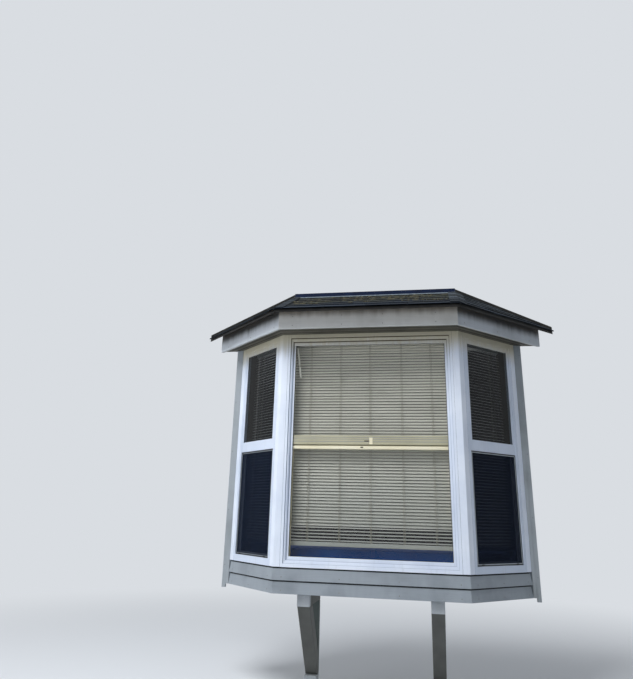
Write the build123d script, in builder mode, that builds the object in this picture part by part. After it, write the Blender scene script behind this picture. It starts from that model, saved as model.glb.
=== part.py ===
from build123d import *
from math import cos, radians, sin, tan
import os

# Three-sided bay window hung on a wall: +Z up, the wall is the plane y = 0,
# the bay stands out towards -Y, and the origin is the middle of the ledger's back face.

# Plan of the bay
face_half = 662.0          # middle of the front to the crease of a corner post
projection = 474.0         # wall to the outer face of the front windows
facet_turn = 45.0          # angle between the front and each side
wall_depth = 115.0         # wall that the unit passes through
jamb_clear = 0.3           # joint between neighbouring pieces

# Platform under the seat
ledger_height = 116.0
joist_width = 38.0
bottom_panel = 12.0
skirt_drop = 11.0          # skirt below the bottom panel
seat_thickness = 28.0
head_thickness = 28.0
skirt_backing = 19.0
lap_head_inset = 7.0       # top edge of a lap board behind the window face
lap_proud = 2.0            # bottom edge of a lap board in front of it
lap_courses = 2
ledger_bolt_radius = 5.25
ledger_bolt_span = 1500.0
ledger_bolt_rise = 66.0

# Windows
window_height = 1658.0
frame_depth = 116.0
pane_thickness = 4.0
front_glass_side = 54.0    # outer edge of the front frame to its glass
front_glass_head = 87.0
front_glass_sill = 68.0
front_jamb = 30.0          # solid stile of the front frame
front_steps = 3
step_depth = 6.0
side_jamb = 26.0
side_head = 46.0
side_sill = 47.0
sash_stile = 24.0
side_stile = 20.0
sash_head = 34.0
sash_thickness = 26.0
sash_gap = 2.0             # between a sash and the sash or pane in front of it
glazing_bead = 5.0         # outer face of a sash to its glass
side_upper_face = -3.0     # side windows' upper sash and screen, behind the window face
screen_face = -6.0
meeting_low = 800.0        # height of the side windows' meeting rail over the frame's foot
meeting_rail = 75.0
lower_sash_rise = 60.0     # top of the side windows' lower sash over the meeting rail's foot
lower_rail = 50.0
front_meeting_low = 798.0
front_upper_rail = 64.0
front_lower_rail = 52.0
screen_bar = 14.0
screen_thickness = 8.0
mesh_thickness = 1.0

lock_length = 60.0
lock_width = 18.0
lock_base = 5.0
lock_cam = 9.0
lock_cam_radius = 8.0

# Blinds and seat cushion
slat_width = 25.0
slat_pitch = 21.5
slat_thickness = 0.6
slat_tilt = 68.0
open_slats = 5
open_tilt = 20.0
blind_rail = 25.0
blind_rail_depth = 22.0
blind_bottom = 137.0       # underside of the bottom rail over the seat board
blind_gap = 5.0            # slat ends to the frame
blind_clear = 3.0          # slats to the room side of the frame
bottom_rail = 28.0
cord_width = 1.2
ladder_inset = 110.0       # outermost cords to the slat ends
front_ladders = 2
side_ladders = 2
cushion_thickness = 134.0
cushion_round = 18.0
cushion_gap = 3.0

# Roof
fascia_front = 190.0       # overhang of the fascia, over the front windows
fascia_side = 129.0        # and over the side windows
fascia_thickness = 19.0
fascia_drop = 10.0         # fascia's lower edge below the window heads
soffit_thickness = 12.0
soffit_drop = 3.0
deck_front = 283.0         # overhang of the roof boards
deck_side = 202.0
deck_thickness = 15.0
eave_rise = 100.0          # window heads to the underside of the deck at the eave
roof_top_half = 683.0      # half the length of the roof's top edge on the wall
roof_rise = 352.0          # eave to wall, up the underside of the deck
shingle_courses = 6
shingle_head = 4.0
shingle_butt = 11.0
shingle_overhang = 12.0
cap_width = 105.0
cap_thickness = 5.0
rafter_depth = 89.0
plate_height = 110.0
drip_drop = 9.0
drip_thickness = 1.6
flashing_thickness = 1.6
flashing_rise = 36.0
flashing_flange = 70.0
side_flashing_rise = 16.0

# Trim on the wall and brackets
trim_thickness = 25.0
trim_inner = 23.0
trim_outer = 30.0
trim_outer_thickness = 19.0
trim_drop = 26.0
bracket_x = 447.5
timber = 89.0
arm_setback = 37.0         # arm's end behind the window face
leg_thickness = 38.0
leg_drop = 566.0           # underside of the arm to the foot of the leg
strut_heel = 12.0          # front of the strut in front of the leg, at the foot block
strut_toe = 12.0           # front of the strut behind the arm's end

# Heights worked out from the ledger's middle
turn = radians(facet_turn)
platform_top = ledger_height / 2
platform_foot = -ledger_height / 2 - bottom_panel
skirt_foot = platform_foot - skirt_drop
sill = platform_top + seat_thickness
head = sill + window_height
fascia_foot = head - fascia_drop
eave = head + eave_rise
post_face = frame_depth * tan(turn / 2)
facet_length = (projection - trim_thickness) / sin(turn)
side_width = facet_length - 2 * post_face

SIDES = ("left", "right")


def edge_x(offset, y):
    """x of a side facet's line, moved outwards by offset, at depth y."""
    along = (y + projection + offset * cos(turn)) / sin(turn)
    return face_half + offset * sin(turn) + along * cos(turn)


def outline(front, side, back):
    """Plan of the bay, moved outwards by front and side, closed at y = back."""
    corner_y = -(projection + front)
    corner_x, end_x = edge_x(side, corner_y), edge_x(side, back)
    return [(-end_x, back), (-corner_x, corner_y), (corner_x, corner_y), (end_x, back)]


def strip(facet, outer, inner, back):
    """Plan of one facet's board between two (front, side) offsets, mitred at the corners."""
    out, inn = outline(*outer, back), outline(*inner, back)
    gap = jamb_clear
    if facet == "front":
        (x1, y1), (x2, y2) = out[2], inn[2]
        return [(-x1 + gap, y1), (x1 - gap, y1), (x2 - gap, y2), (-x2 + gap, y2)]
    points = [out[2], out[3], inn[3], inn[2]]
    return points if facet == "right" else [(-x, y) for x, y in points]


def prism(points, plane, amount):
    """Adds a straight-sided solid over an outline to the part being built."""
    with BuildSketch(plane) as section:
        with BuildLine():
            Polyline(*points, close=True)
        make_face()
    extrude(section.sketch, amount=amount)


def board(points, foot, height):
    prism(points, Plane.XY.offset(foot), height)


def mirrored(points):
    return [(-x, y) for x, y in points]


def finish(builder, name):
    builder.part.label = name
    export_step(builder.part, f"parts/{name}.step")


os.makedirs("parts", exist_ok=True)

# Seat board and head board
opening_half = edge_x(0, -trim_thickness)


def deck_board(offset):
    """Plan of a board that fills the bay and the wall opening."""
    corner = outline(offset, offset, 0)[2]
    side_y = (opening_half - edge_x(offset, 0)) * tan(turn)
    half = [corner, (opening_half, side_y), (opening_half, wall_depth)]
    return half + mirrored(half)[::-1]


with BuildPart() as seat_board:
    board(deck_board(-skirt_backing), platform_top, seat_thickness)
finish(seat_board, "seat_board")

with BuildPart() as head_board:
    board(deck_board(0), head, head_thickness)
finish(head_board, "head_board")


# Frames stand on these planes: x along the facet, y up, z out of the face
def facet_plane(facet):
    if facet == "front":
        return Plane(origin=(-face_half + post_face, -projection, sill), x_dir=(1, 0, 0), z_dir=(0, -1, 0))
    along = Vector(cos(turn), sin(turn), 0)
    if facet == "right":
        start = Vector(face_half, -projection, sill) + along * post_face
        return Plane(origin=start, x_dir=along, z_dir=(sin(turn), -cos(turn), 0))
    along = Vector(cos(turn), -sin(turn), 0)
    start = Vector(-face_half, -projection, sill) - along * (post_face + side_width)
    return Plane(origin=start, x_dir=along, z_dir=(-sin(turn), -cos(turn), 0))


# Corner posts are the wedges between two frames, end jambs pass through the wall
inner_corner = outline(-frame_depth, -frame_depth, 0)[2]
post = [
    (face_half - post_face + jamb_clear, -projection),
    (face_half, -projection),
    (face_half + (post_face - jamb_clear) * cos(turn), -projection + (post_face - jamb_clear) * sin(turn)),
    (inner_corner[0] + jamb_clear, inner_corner[1]),
]
unit_end = facet_length - post_face
jamb_out = (face_half + (unit_end + jamb_clear) * cos(turn), -projection + (unit_end + jamb_clear) * sin(turn))
jamb_in = (jamb_out[0] - frame_depth * sin(turn), jamb_out[1] + frame_depth * cos(turn))
jamb = [
    jamb_out,
    (opening_half, -trim_thickness),
    (opening_half, wall_depth),
    (jamb_in[0], wall_depth),
    jamb_in,
]
for side in SIDES:
    with BuildPart() as corner_post:
        board(post if side == "right" else mirrored(post), sill, window_height)
    finish(corner_post, f"{side}_corner_post")
    with BuildPart() as end_jamb:
        board(jamb if side == "right" else mirrored(jamb), sill, window_height)
    finish(end_jamb, f"{side}_end_jamb")


def inset(box, left, foot, right, top):
    """A box (x0, y0, x1, y1) drawn in from its four sides."""
    x0, y0, x1, y1 = box
    return (x0 + left, y0 + foot, x1 - right, y1 - top)


def panel(plane, box, back, front):
    x0, y0, x1, y1 = box
    prism([(x0, y0), (x1, y0), (x1, y1), (x0, y1)], plane.offset(back), front - back)


def ring(plane, outer, inner, back, front):
    """A rectangular frame between two boxes, from depth back to depth front."""
    with BuildSketch(plane.offset(back)) as section:
        for box, mode in ((outer, Mode.ADD), (inner, Mode.SUBTRACT)):
            x0, y0, x1, y1 = box
            with Locations(((x0 + x1) / 2, (y0 + y1) / 2)):
                Rectangle(x1 - x0, y1 - y0, mode=mode)
    extrude(section.sketch, amount=front - back)


# Front window: stepped frame, one outer pane, two sashes behind it
front = facet_plane("front")
front_width = 2 * (face_half - post_face)
front_box = inset((0, 0, front_width, window_height), jamb_clear, 0, jamb_clear, 0)
front_glass = inset((0, 0, front_width, window_height),
                    front_glass_side, front_glass_sill, front_glass_side, front_glass_head)
head_share = front_glass_head / front_glass_side
sill_share = front_glass_sill / front_glass_side
front_light = inset((0, 0, front_width, window_height), front_jamb, front_jamb * sill_share,
                    front_jamb, front_jamb * head_share)
lip_face = -front_steps * step_depth
lip_back = lip_face - step_depth

with BuildPart() as front_frame:
    ring(front, front_box, front_light, -frame_depth, 0)
    for step in range(1, front_steps):
        reach = front_glass_side * step / front_steps
        if reach < front_jamb:
            cut = inset((0, 0, front_width, window_height), reach, reach * sill_share,
                        reach, reach * head_share)
            with BuildSketch(front.offset(-step * step_depth)) as recess:
                with Locations(((cut[0] + cut[2]) / 2, (cut[1] + cut[3]) / 2)):
                    Rectangle(cut[2] - cut[0], cut[3] - cut[1])
            extrude(recess.sketch, amount=step_depth * step, mode=Mode.SUBTRACT)
        else:
            ring(front, front_light, inset((0, 0, front_width, window_height), reach,
                 reach * sill_share, reach, reach * head_share), lip_back, -step * step_depth)
    ring(front, front_light, front_glass, lip_back, lip_face)
finish(front_frame, "front_frame")

pane_front = lip_back
with BuildPart() as front_storm_pane:
    panel(front, inset(front_light, jamb_clear, jamb_clear, jamb_clear, jamb_clear),
          pane_front - pane_thickness, pane_front)
finish(front_storm_pane, "front_storm_pane")

front_upper_face = pane_front - pane_thickness - sash_gap
front_lower_face = front_upper_face - sash_thickness - sash_gap
upper_box = (front_light[0] + jamb_clear, front_meeting_low + front_upper_rail / 2,
             front_light[2] - jamb_clear, front_light[3] - jamb_clear)
upper_light = inset(upper_box, sash_stile, front_upper_rail, sash_stile, sash_head)
lower_box = (upper_box[0], front_light[1] + jamb_clear, upper_box[2], front_meeting_low + front_lower_rail)
lower_light = inset(lower_box, sash_stile, sash_stile, sash_stile, front_lower_rail)
with BuildPart() as front_upper_sash:
    ring(front, upper_box, upper_light, front_upper_face - sash_thickness, front_upper_face)
finish(front_upper_sash, "front_upper_sash")
with BuildPart() as front_lower_sash:
    ring(front, lower_box, lower_light, front_lower_face - sash_thickness, front_lower_face)
finish(front_lower_sash, "front_lower_sash")


def glaze(plane, light, face):
    """A pane set in a sash behind its outer bead, its edges just clear of the sash."""
    panel(plane, inset(light, *(jamb_clear,) * 4), face - glazing_bead - pane_thickness, face - glazing_bead)


with BuildPart() as front_sash_glass:
    glaze(front, upper_light, front_upper_face)
    glaze(front, lower_light, front_lower_face)
finish(front_sash_glass, "front_sash_glass")


# Side windows: double-hung, with a screen over the lower half
lower_face = side_upper_face - sash_thickness - sash_gap
side_light = (side_jamb, side_sill, side_width - side_jamb, window_height - side_head)
side_upper_box = (side_light[0] + jamb_clear, meeting_low, side_light[2] - jamb_clear,
                  side_light[3] - jamb_clear)
side_upper_light = inset(side_upper_box, side_stile, meeting_rail, side_stile, sash_head)
side_lower_box = (side_upper_box[0], side_light[1] + jamb_clear, side_upper_box[2],
                  meeting_low + lower_sash_rise)
side_lower_light = inset(side_lower_box, sash_stile, sash_stile, sash_stile, lower_rail)
screen_box = (side_light[0] + jamb_clear, side_light[1] + jamb_clear, side_light[2] - jamb_clear,
              meeting_low - jamb_clear)
screen_light = inset(screen_box, *(screen_bar,) * 4)

for side in SIDES:
    plane = facet_plane(side)
    with BuildPart() as side_frame:
        ring(plane, inset((0, 0, side_width, window_height), jamb_clear, 0, jamb_clear, 0),
             side_light, -frame_depth, 0)
    finish(side_frame, f"{side}_frame")
    with BuildPart() as side_upper_sash:
        ring(plane, side_upper_box, side_upper_light, side_upper_face - sash_thickness, side_upper_face)
    finish(side_upper_sash, f"{side}_upper_sash")
    with BuildPart() as side_lower_sash:
        ring(plane, side_lower_box, side_lower_light, lower_face - sash_thickness, lower_face)
    finish(side_lower_sash, f"{side}_lower_sash")
    with BuildPart() as side_glass:
        glaze(plane, side_upper_light, side_upper_face)
        glaze(plane, side_lower_light, lower_face)
    finish(side_glass, f"{side}_glass")
    with BuildPart() as side_screen:
        ring(plane, screen_box, screen_light, screen_face - screen_thickness, screen_face)
        panel(plane, screen_light, screen_face - screen_thickness / 2 - mesh_thickness / 2,
              screen_face - screen_thickness / 2 + mesh_thickness / 2)
    finish(side_screen, f"{side}_screen")


# Sash locks: a base on the lower sash, a round cam and its lever
lock_stands = [(front, (lower_box[0] + lower_box[2]) / 2, lower_box[3], front_lower_face)]
for side in SIDES:
    lock_stands.append((facet_plane(side), side_width / 2, side_lower_box[3], lower_face))
with BuildPart() as sash_locks:
    for plane, x, y, face in lock_stands:
        seat = Plane(origin=plane.from_local_coords(Vector(x, y, face - sash_thickness / 2)),
                     x_dir=plane.x_dir, z_dir=plane.y_dir)
        with BuildSketch(seat) as base:
            SlotOverall(lock_length, lock_width)
        extrude(base.sketch, amount=lock_base)
        with BuildSketch(seat.offset(lock_base)) as cam:
            Circle(lock_cam_radius)
            with Locations((lock_length / 4, 0)):
                Rectangle(lock_length / 2, lock_width / 3)
        extrude(cam.sketch, amount=lock_cam)
finish(sash_locks, "sash_locks")


def blind(plane, light, depth, ladders, closed):
    """Head rail, slats and bottom rail, strung on cords; the lowest slats always hang open."""
    x0, _, x1, y1 = inset(light, blind_gap, 0, blind_gap, jamb_clear)
    top, foot = y1 - blind_rail, blind_bottom + bottom_rail
    count = int((top - foot) / slat_pitch)
    first = top - slat_width * sin(radians(slat_tilt)) / 2 - slat_thickness
    end = Plane(origin=plane.from_local_coords(Vector(x0, 0, depth)), x_dir=-plane.z_dir, z_dir=plane.x_dir)
    with BuildSketch(end) as sections:
        with Locations((0, y1 - blind_rail / 2)):
            Rectangle(blind_rail_depth, blind_rail)
        with Locations((0, blind_bottom + bottom_rail / 2)):
            Rectangle(blind_rail_depth, bottom_rail)
        closed_rows = count - open_slats if closed else 0
        for row in range(count):
            tilt = slat_tilt if row < closed_rows else open_tilt
            with Locations((0, first - row * slat_pitch)):
                Rectangle(slat_width, slat_thickness, rotation=tilt)
    extrude(sections.sketch, amount=x1 - x0)
    middle = plane.from_local_coords(Vector((x0 + x1) / 2, foot, depth))
    with BuildSketch(Plane(origin=middle, x_dir=plane.x_dir, z_dir=plane.y_dir)) as cords:
        with GridLocations((x1 - x0 - 2 * ladder_inset) / (ladders - 1), 1, ladders, 1):
            Rectangle(cord_width, cord_width)
    extrude(cords.sketch, amount=top - foot)


blind_depth = -(frame_depth - slat_width / 2 - blind_clear)
with BuildPart() as front_blind:
    blind(front, front_light, blind_depth, front_ladders, closed=True)
finish(front_blind, "front_blind")
for side in SIDES:
    with BuildPart() as side_blind:
        blind(facet_plane(side), side_light, blind_depth, side_ladders, closed=False)
    finish(side_blind, f"{side}_blind")

# Seat cushion, cut to the plan inside the frames
cushion_front = outline(-frame_depth - cushion_gap, -frame_depth - cushion_gap, 0)[2]
cushion_end = jamb_in[0] - cushion_gap
half_cushion = [
    cushion_front,
    (cushion_end, (cushion_end - edge_x(-frame_depth - cushion_gap, 0)) * tan(turn)),
    (cushion_end, wall_depth - cushion_round),
]
with BuildPart() as seat_cushion:
    board(half_cushion + mirrored(half_cushion)[::-1], sill, cushion_thickness)
    fillet(seat_cushion.edges().filter_by(Axis.Z), cushion_round)
    fillet(seat_cushion.edges().group_by(Axis.Z)[-1], cushion_round)
finish(seat_cushion, "seat_cushion")

# Roof planes: each slope is a plane through its eave line and the roof's top edge
eave_points = outline(deck_front, deck_side, 0)
top_corner = Vector(roof_top_half, 0, eave + roof_rise)


def slope_plane(facet, lift=0.0):
    """Plane of a slope, lifted along its normal; x runs along the eave, y up the slope."""
    corner = Vector(*eave_points[2], eave)
    along = Vector(1, 0, 0) if facet == "front" else Vector(cos(turn), sin(turn), 0)
    normal = along.cross(top_corner - corner).normalized()
    if facet == "left":
        corner, along = Vector(-corner.X, corner.Y, corner.Z), Vector(along.X, -along.Y, 0)
        normal = Vector(-normal.X, normal.Y, normal.Z)
    return Plane(origin=corner, x_dir=along, z_dir=normal).offset(lift)


def slope_length(facet):
    plane = slope_plane(facet)
    top = top_corner if facet != "left" else Vector(-top_corner.X, 0, top_corner.Z)
    return plane.to_local_coords(top).Y


def hip_x(y):
    """x of the right hip line at depth y."""
    foot_x, foot_y = eave_points[2]
    return roof_top_half + (foot_x - roof_top_half) * y / foot_y


def slope_plan(facet, reach=0.0, back=0.0):
    """Plan of one slope from y = back to its eave, moved outwards by reach, up to the hip lines."""
    corner, end = outline(deck_front + reach, deck_side + reach, back)[2:]
    foot = (hip_x(corner[1]), corner[1])
    if facet == "front":
        half = [(hip_x(back) - jamb_clear, back), (foot[0] - jamb_clear, foot[1])]
        return half + mirrored(half)[::-1]
    past_hip = [corner] if reach else []
    points = [(hip_x(back), back), foot] + past_hip + [end]
    return points if facet == "right" else mirrored(points)


def slope_layer(facet, profile, plan):
    """Extrudes a section (up the slope, lift) along the eave and trims it to a plan."""
    plane = slope_plane(facet)
    reach = 2 * (face_half + projection + deck_front)
    start = Plane(origin=plane.origin - plane.x_dir * reach, x_dir=plane.y_dir, z_dir=plane.x_dir)
    with BuildPart() as layer:
        prism(profile, start, 2 * reach)
        with BuildSketch(Plane.XY) as trim:
            with BuildLine():
                Polyline(*plan, close=True)
            make_face()
        extrude(trim.sketch, amount=2 * (eave + roof_rise), mode=Mode.INTERSECT)
    return layer.part


def course_profile(facet):
    """Stepped section of the shingle courses on a slope, from past the eave to the wall."""
    length = slope_length(facet)
    lowest = deck_thickness
    start = -2 * shingle_overhang
    exposure = (length - start) / shingle_courses
    points = [(start, lowest), (start, lowest + shingle_butt)]
    for course in range(1, shingle_courses + 1):
        edge = start + course * exposure
        points.append((edge, lowest + shingle_head))
        if course < shingle_courses:
            points.append((edge, lowest + shingle_butt))
    points.append((start + shingle_courses * exposure, lowest))
    return points


FACETS = ("front", "left", "right")
with BuildPart() as roof_deck:
    for facet in FACETS:
        flat = [(-deck_front, 0), (-deck_front, deck_thickness),
                (2 * slope_length(facet), deck_thickness), (2 * slope_length(facet), 0)]
        add(slope_layer(facet, flat, slope_plan(facet)))
finish(roof_deck, "roof_deck")

# Shingles stop at the flashing, which turns up the wall behind the side slopes
for facet in FACETS:
    shingle_back = 0.0 if facet == "front" else -flashing_thickness - jamb_clear
    with BuildPart() as shingles:
        add(slope_layer(facet, course_profile(facet), slope_plan(facet, shingle_overhang, shingle_back)))
    finish(shingles, f"{facet}_shingles")


def roof_height(facet, x, y):
    """Height of the deck's underside over a point of the plan."""
    plane = slope_plane(facet)
    n, o = plane.z_dir, plane.origin
    return o.Z - (n.X * (x - o.X) + n.Y * (y - o.Y)) / n.Z


def slope_bar(facet, low, high, plan):
    """A member between two lifts over a slope's plane, as long as its plan."""
    ends = 3 * slope_length(facet)
    return slope_layer(facet, [(-ends, low), (-ends, high), (ends, high), (ends, low)], plan)


def hip_strip(width, foot, back):
    """Plan of a band along the right hip line, width to one side of it."""
    return [(hip_x(foot), foot), (hip_x(back), back), (hip_x(back) + width, back), (hip_x(foot) + width, foot)]


def hip_pair(side, half_width, low, high, foot, back):
    """Two bands that meet over a hip line, each following its own slope."""
    for facet, width in (("front", -half_width), (side, half_width)):
        plan = hip_strip(width, foot, back)
        add(slope_bar(facet, low, high, plan if side == "right" else mirrored(plan)))


# Cap shingles bent over the hips
cap_low = deck_thickness + shingle_butt + jamb_clear
cap_high = cap_low + cap_thickness
cap_back = -2 * flashing_thickness
with BuildPart() as hip_caps:
    for side in SIDES:
        hip_pair(side, cap_width, cap_low, cap_high, eave_points[2][1], cap_back)
finish(hip_caps, "hip_caps")

# Drip edge round the deck, flashing on the wall
drip_face = (deck_front + drip_thickness, deck_side + drip_thickness)
with BuildPart() as drip_edge:
    for facet in FACETS:
        board(strip(facet, drip_face, (deck_front, deck_side), 0), eave - drip_drop,
              drip_drop + deck_thickness - 2 * drip_thickness)
finish(drip_edge, "drip_edge")

length = slope_length("front")
exposure = (length + 2 * shingle_overhang) / shingle_courses
flange_low = deck_thickness + shingle_head + jamb_clear
flange_rise = (shingle_butt - shingle_head) * flashing_flange / exposure
wall_surface = roof_height("front", 0, 0) + flange_low / slope_plane("front").z_dir.Z
with BuildPart() as wall_flashing:
    under = [(length - flashing_flange, flange_low + flange_rise), (length, flange_low),
             (length + flashing_flange, flange_low)]
    flange = under + [(along, lift + flashing_thickness) for along, lift in under[::-1]]
    add(slope_layer("front", flange, slope_plan("front")))
    board([(-roof_top_half, 0), (roof_top_half, 0), (roof_top_half, -flashing_thickness),
           (-roof_top_half, -flashing_thickness)], wall_surface, flashing_rise)
    for side in SIDES:
        end_x = edge_x(deck_side, 0)
        rake = [(roof_top_half + jamb_clear, 0), (end_x, 0), (end_x, -flashing_thickness),
                (roof_top_half + jamb_clear, -flashing_thickness)]
        add(slope_bar(side, deck_thickness + jamb_clear, cap_low + side_flashing_rise,
                      rake if side == "right" else mirrored(rake)))
finish(wall_flashing, "wall_flashing")

# Fascia boards and soffit
fascia_back = (fascia_front - fascia_thickness, fascia_side - fascia_thickness)
fascia_corner = outline(fascia_front, fascia_side, 0)[2]
fascia_top = min(roof_height("front", *fascia_corner), roof_height("right", *fascia_corner))
with BuildPart() as fascia:
    for facet in FACETS:
        board(strip(facet, (fascia_front, fascia_side), fascia_back, 0), fascia_foot, fascia_top - fascia_foot)
finish(fascia, "fascia")

with BuildPart() as soffit:
    for facet in FACETS:
        board(strip(facet, fascia_back, (0, 0), 0), head - soffit_drop, soffit_thickness)
finish(soffit, "soffit")

# Roof frame: plates on the head board, rafters seated on them, a ledger and end rafters on the wall
plate_foot = head + head_thickness
rafter_half = joist_width / 2
plumb_depth = rafter_depth / slope_plane("front").z_dir.Z
rafter_foot = -(projection + fascia_back[0])
rafter_back = -joist_width - jamb_clear
hip_lean = hip_x(1) - hip_x(0)
hip_foot = (roof_top_half + rafter_half - edge_x(fascia_back[1], 0)) / (1 / tan(turn) - hip_lean)
common_rafters = (-bracket_x, 0, bracket_x)


def bay_bar(x, front_y, back_y):
    """Plan of a member square to the wall."""
    return [(x - rafter_half, front_y), (x + rafter_half, front_y), (x + rafter_half, back_y),
            (x - rafter_half, back_y)]


def rafter(facet, plan):
    return slope_bar(facet, -plumb_depth * slope_plane(facet).z_dir.Z, 0, plan)


with BuildPart() as roof_frame:
    for x in common_rafters:
        add(rafter("front", bay_bar(x, rafter_foot, rafter_back)))
    ledger = [(hip_x(-joist_width), -joist_width), (hip_x(0), 0)]
    add(rafter("front", ledger + mirrored(ledger)[::-1]))
    for side in SIDES:
        for facet, width in (("front", -rafter_half), (side, rafter_half)):
            plan = hip_strip(width, hip_foot, rafter_back)
            add(rafter(facet, plan if side == "right" else mirrored(plan)))
        foot_x = edge_x(fascia_back[1], -joist_width)
        end = [(roof_top_half + jamb_clear, -joist_width), (foot_x, -joist_width), (foot_x, 0),
               (roof_top_half + jamb_clear, 0)]
        add(rafter(side, end if side == "right" else mirrored(end)))
    for facet in FACETS:
        with BuildSketch(Plane.XY.offset(plate_foot)) as plate:
            with BuildLine():
                Polyline(*strip(facet, (0, 0), (-joist_width, -joist_width), 0), close=True)
            make_face()
        extrude(offset(plate.sketch, amount=jamb_clear, kind=Kind.INTERSECTION, mode=Mode.PRIVATE),
                amount=plate_height + jamb_clear, mode=Mode.SUBTRACT)
    for facet in FACETS:
        board(strip(facet, (0, 0), (-joist_width, -joist_width), 0), plate_foot, plate_height)
finish(roof_frame, "roof_frame")

# Platform: rim joists, joists over the brackets, ledger on the wall, bottom panel
rim = (-skirt_backing, -skirt_backing)
rim_back = (rim[0] - joist_width, rim[1] - joist_width)
ledger_half = edge_x(rim_back[1], -joist_width) - jamb_clear
joist_front = -(projection + rim_back[0]) + jamb_clear
platform_low = -ledger_height / 2
bolt_face = Plane(origin=(0, 0, 0), x_dir=(1, 0, 0), z_dir=(0, 1, 0))
with BuildPart() as platform_frame:
    for facet in FACETS:
        board(strip(facet, rim, rim_back, 0), platform_low, ledger_height)
    board([(-ledger_half, -joist_width), (ledger_half, -joist_width), (ledger_half, 0), (-ledger_half, 0)],
          platform_low, ledger_height)
    for x in common_rafters:
        board(bay_bar(x, joist_front, rafter_back), platform_low, ledger_height)
    with Locations(bolt_face):
        with GridLocations(ledger_bolt_span, ledger_bolt_rise, 2, 2):
            Hole(ledger_bolt_radius, depth=joist_width)
finish(platform_frame, "platform_frame")

with BuildPart() as platform_bottom:
    board(outline(*rim, 0), platform_foot, bottom_panel)
finish(platform_bottom, "platform_bottom")

# Skirt: two lap boards a face, each thicker at its lower edge
lap_height = (sill - skirt_foot) / lap_courses
with BuildPart() as skirt:
    for facet in FACETS:
        for course in range(lap_courses):
            foot = skirt_foot + course * lap_height
            sections = []
            for height, proud in ((foot, lap_proud), (foot + lap_height - jamb_clear, -lap_head_inset)):
                with BuildSketch(Plane.XY.offset(height)) as section:
                    with BuildLine():
                        Polyline(*strip(facet, (proud, proud), rim, -trim_thickness - jamb_clear), close=True)
                    make_face()
                sections.append(section.sketch)
            loft(sections, ruled=True)
finish(skirt, "skirt")

# Flat boards on the wall beside the windows
trim_top = head - soffit_drop
with BuildPart() as wall_trim:
    for side in SIDES:
        inner = opening_half + jamb_clear
        bands = ((inner, inner + trim_inner, trim_thickness, skirt_foot),
                 (inner + trim_inner + jamb_clear, inner + trim_inner + trim_outer, trim_outer_thickness,
                  skirt_foot - trim_drop))
        for near, far, thick, foot in bands:
            plan = [(near, 0), (far, 0), (far, -thick), (near, -thick)]
            board(plan if side == "right" else mirrored(plan), foot, trim_top - foot)
finish(wall_trim, "wall_trim")

# Brackets: arm under the platform, strut, and a leg on the wall with its foot block
arm_foot = platform_foot - timber
arm_end = -(projection - arm_setback)
leg_foot = arm_foot - leg_drop
block_top = leg_foot + timber
front_low, front_high = (-leg_thickness - strut_heel, block_top), (arm_end + strut_toe, arm_foot)
lean = (front_high[0] - front_low[0]) / (front_high[1] - front_low[1])
plumb = timber * (1 + lean ** 2) ** 0.5
back_low = arm_foot - (front_high[0] + plumb + leg_thickness) / lean
strut_side = [front_high, (front_high[0] + plumb, arm_foot), (-leg_thickness, back_low),
              (-leg_thickness, block_top), front_low]
for side in SIDES:
    centre = bracket_x if side == "right" else -bracket_x
    bracket_plane = Plane.YZ.offset(centre - timber / 2)
    with BuildPart() as bracket_arm:
        prism([(arm_end, arm_foot), (0, arm_foot), (0, platform_foot), (arm_end, platform_foot)],
              bracket_plane, timber)
    finish(bracket_arm, f"{side}_bracket_arm")
    with BuildPart() as bracket_strut:
        prism(strut_side, bracket_plane, timber)
    finish(bracket_strut, f"{side}_bracket_strut")
    with BuildPart() as bracket_leg:
        prism([(0, arm_foot), (-leg_thickness, arm_foot), (-leg_thickness, block_top), (-timber, block_top),
               (-timber, leg_foot), (0, leg_foot)], bracket_plane, timber)
    finish(bracket_leg, f"{side}_bracket_leg")
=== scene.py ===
import bmesh
import bpy
import random
from math import ceil, cos, floor, pi, radians, sin
from mathutils import Matrix, Vector, noise
from mathutils.bvhtree import BVHTree


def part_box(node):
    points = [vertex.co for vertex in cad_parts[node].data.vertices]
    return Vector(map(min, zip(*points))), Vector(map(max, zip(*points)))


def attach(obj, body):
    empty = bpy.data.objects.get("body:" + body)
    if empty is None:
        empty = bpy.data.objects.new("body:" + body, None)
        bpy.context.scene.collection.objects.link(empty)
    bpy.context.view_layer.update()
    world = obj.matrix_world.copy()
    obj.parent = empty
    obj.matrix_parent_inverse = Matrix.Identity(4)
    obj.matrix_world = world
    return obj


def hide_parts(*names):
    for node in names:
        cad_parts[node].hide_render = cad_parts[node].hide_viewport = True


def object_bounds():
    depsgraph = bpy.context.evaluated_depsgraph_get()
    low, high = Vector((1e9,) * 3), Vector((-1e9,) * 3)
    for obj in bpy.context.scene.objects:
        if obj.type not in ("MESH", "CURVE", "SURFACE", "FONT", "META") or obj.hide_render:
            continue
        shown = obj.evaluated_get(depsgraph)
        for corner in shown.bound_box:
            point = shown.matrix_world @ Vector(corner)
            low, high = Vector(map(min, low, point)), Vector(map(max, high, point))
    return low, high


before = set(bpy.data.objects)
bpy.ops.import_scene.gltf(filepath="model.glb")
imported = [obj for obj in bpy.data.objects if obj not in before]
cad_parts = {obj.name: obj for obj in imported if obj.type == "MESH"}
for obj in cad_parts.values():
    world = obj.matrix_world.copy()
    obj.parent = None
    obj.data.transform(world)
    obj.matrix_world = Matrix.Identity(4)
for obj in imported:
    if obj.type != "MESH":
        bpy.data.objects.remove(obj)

cad_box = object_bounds()

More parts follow.
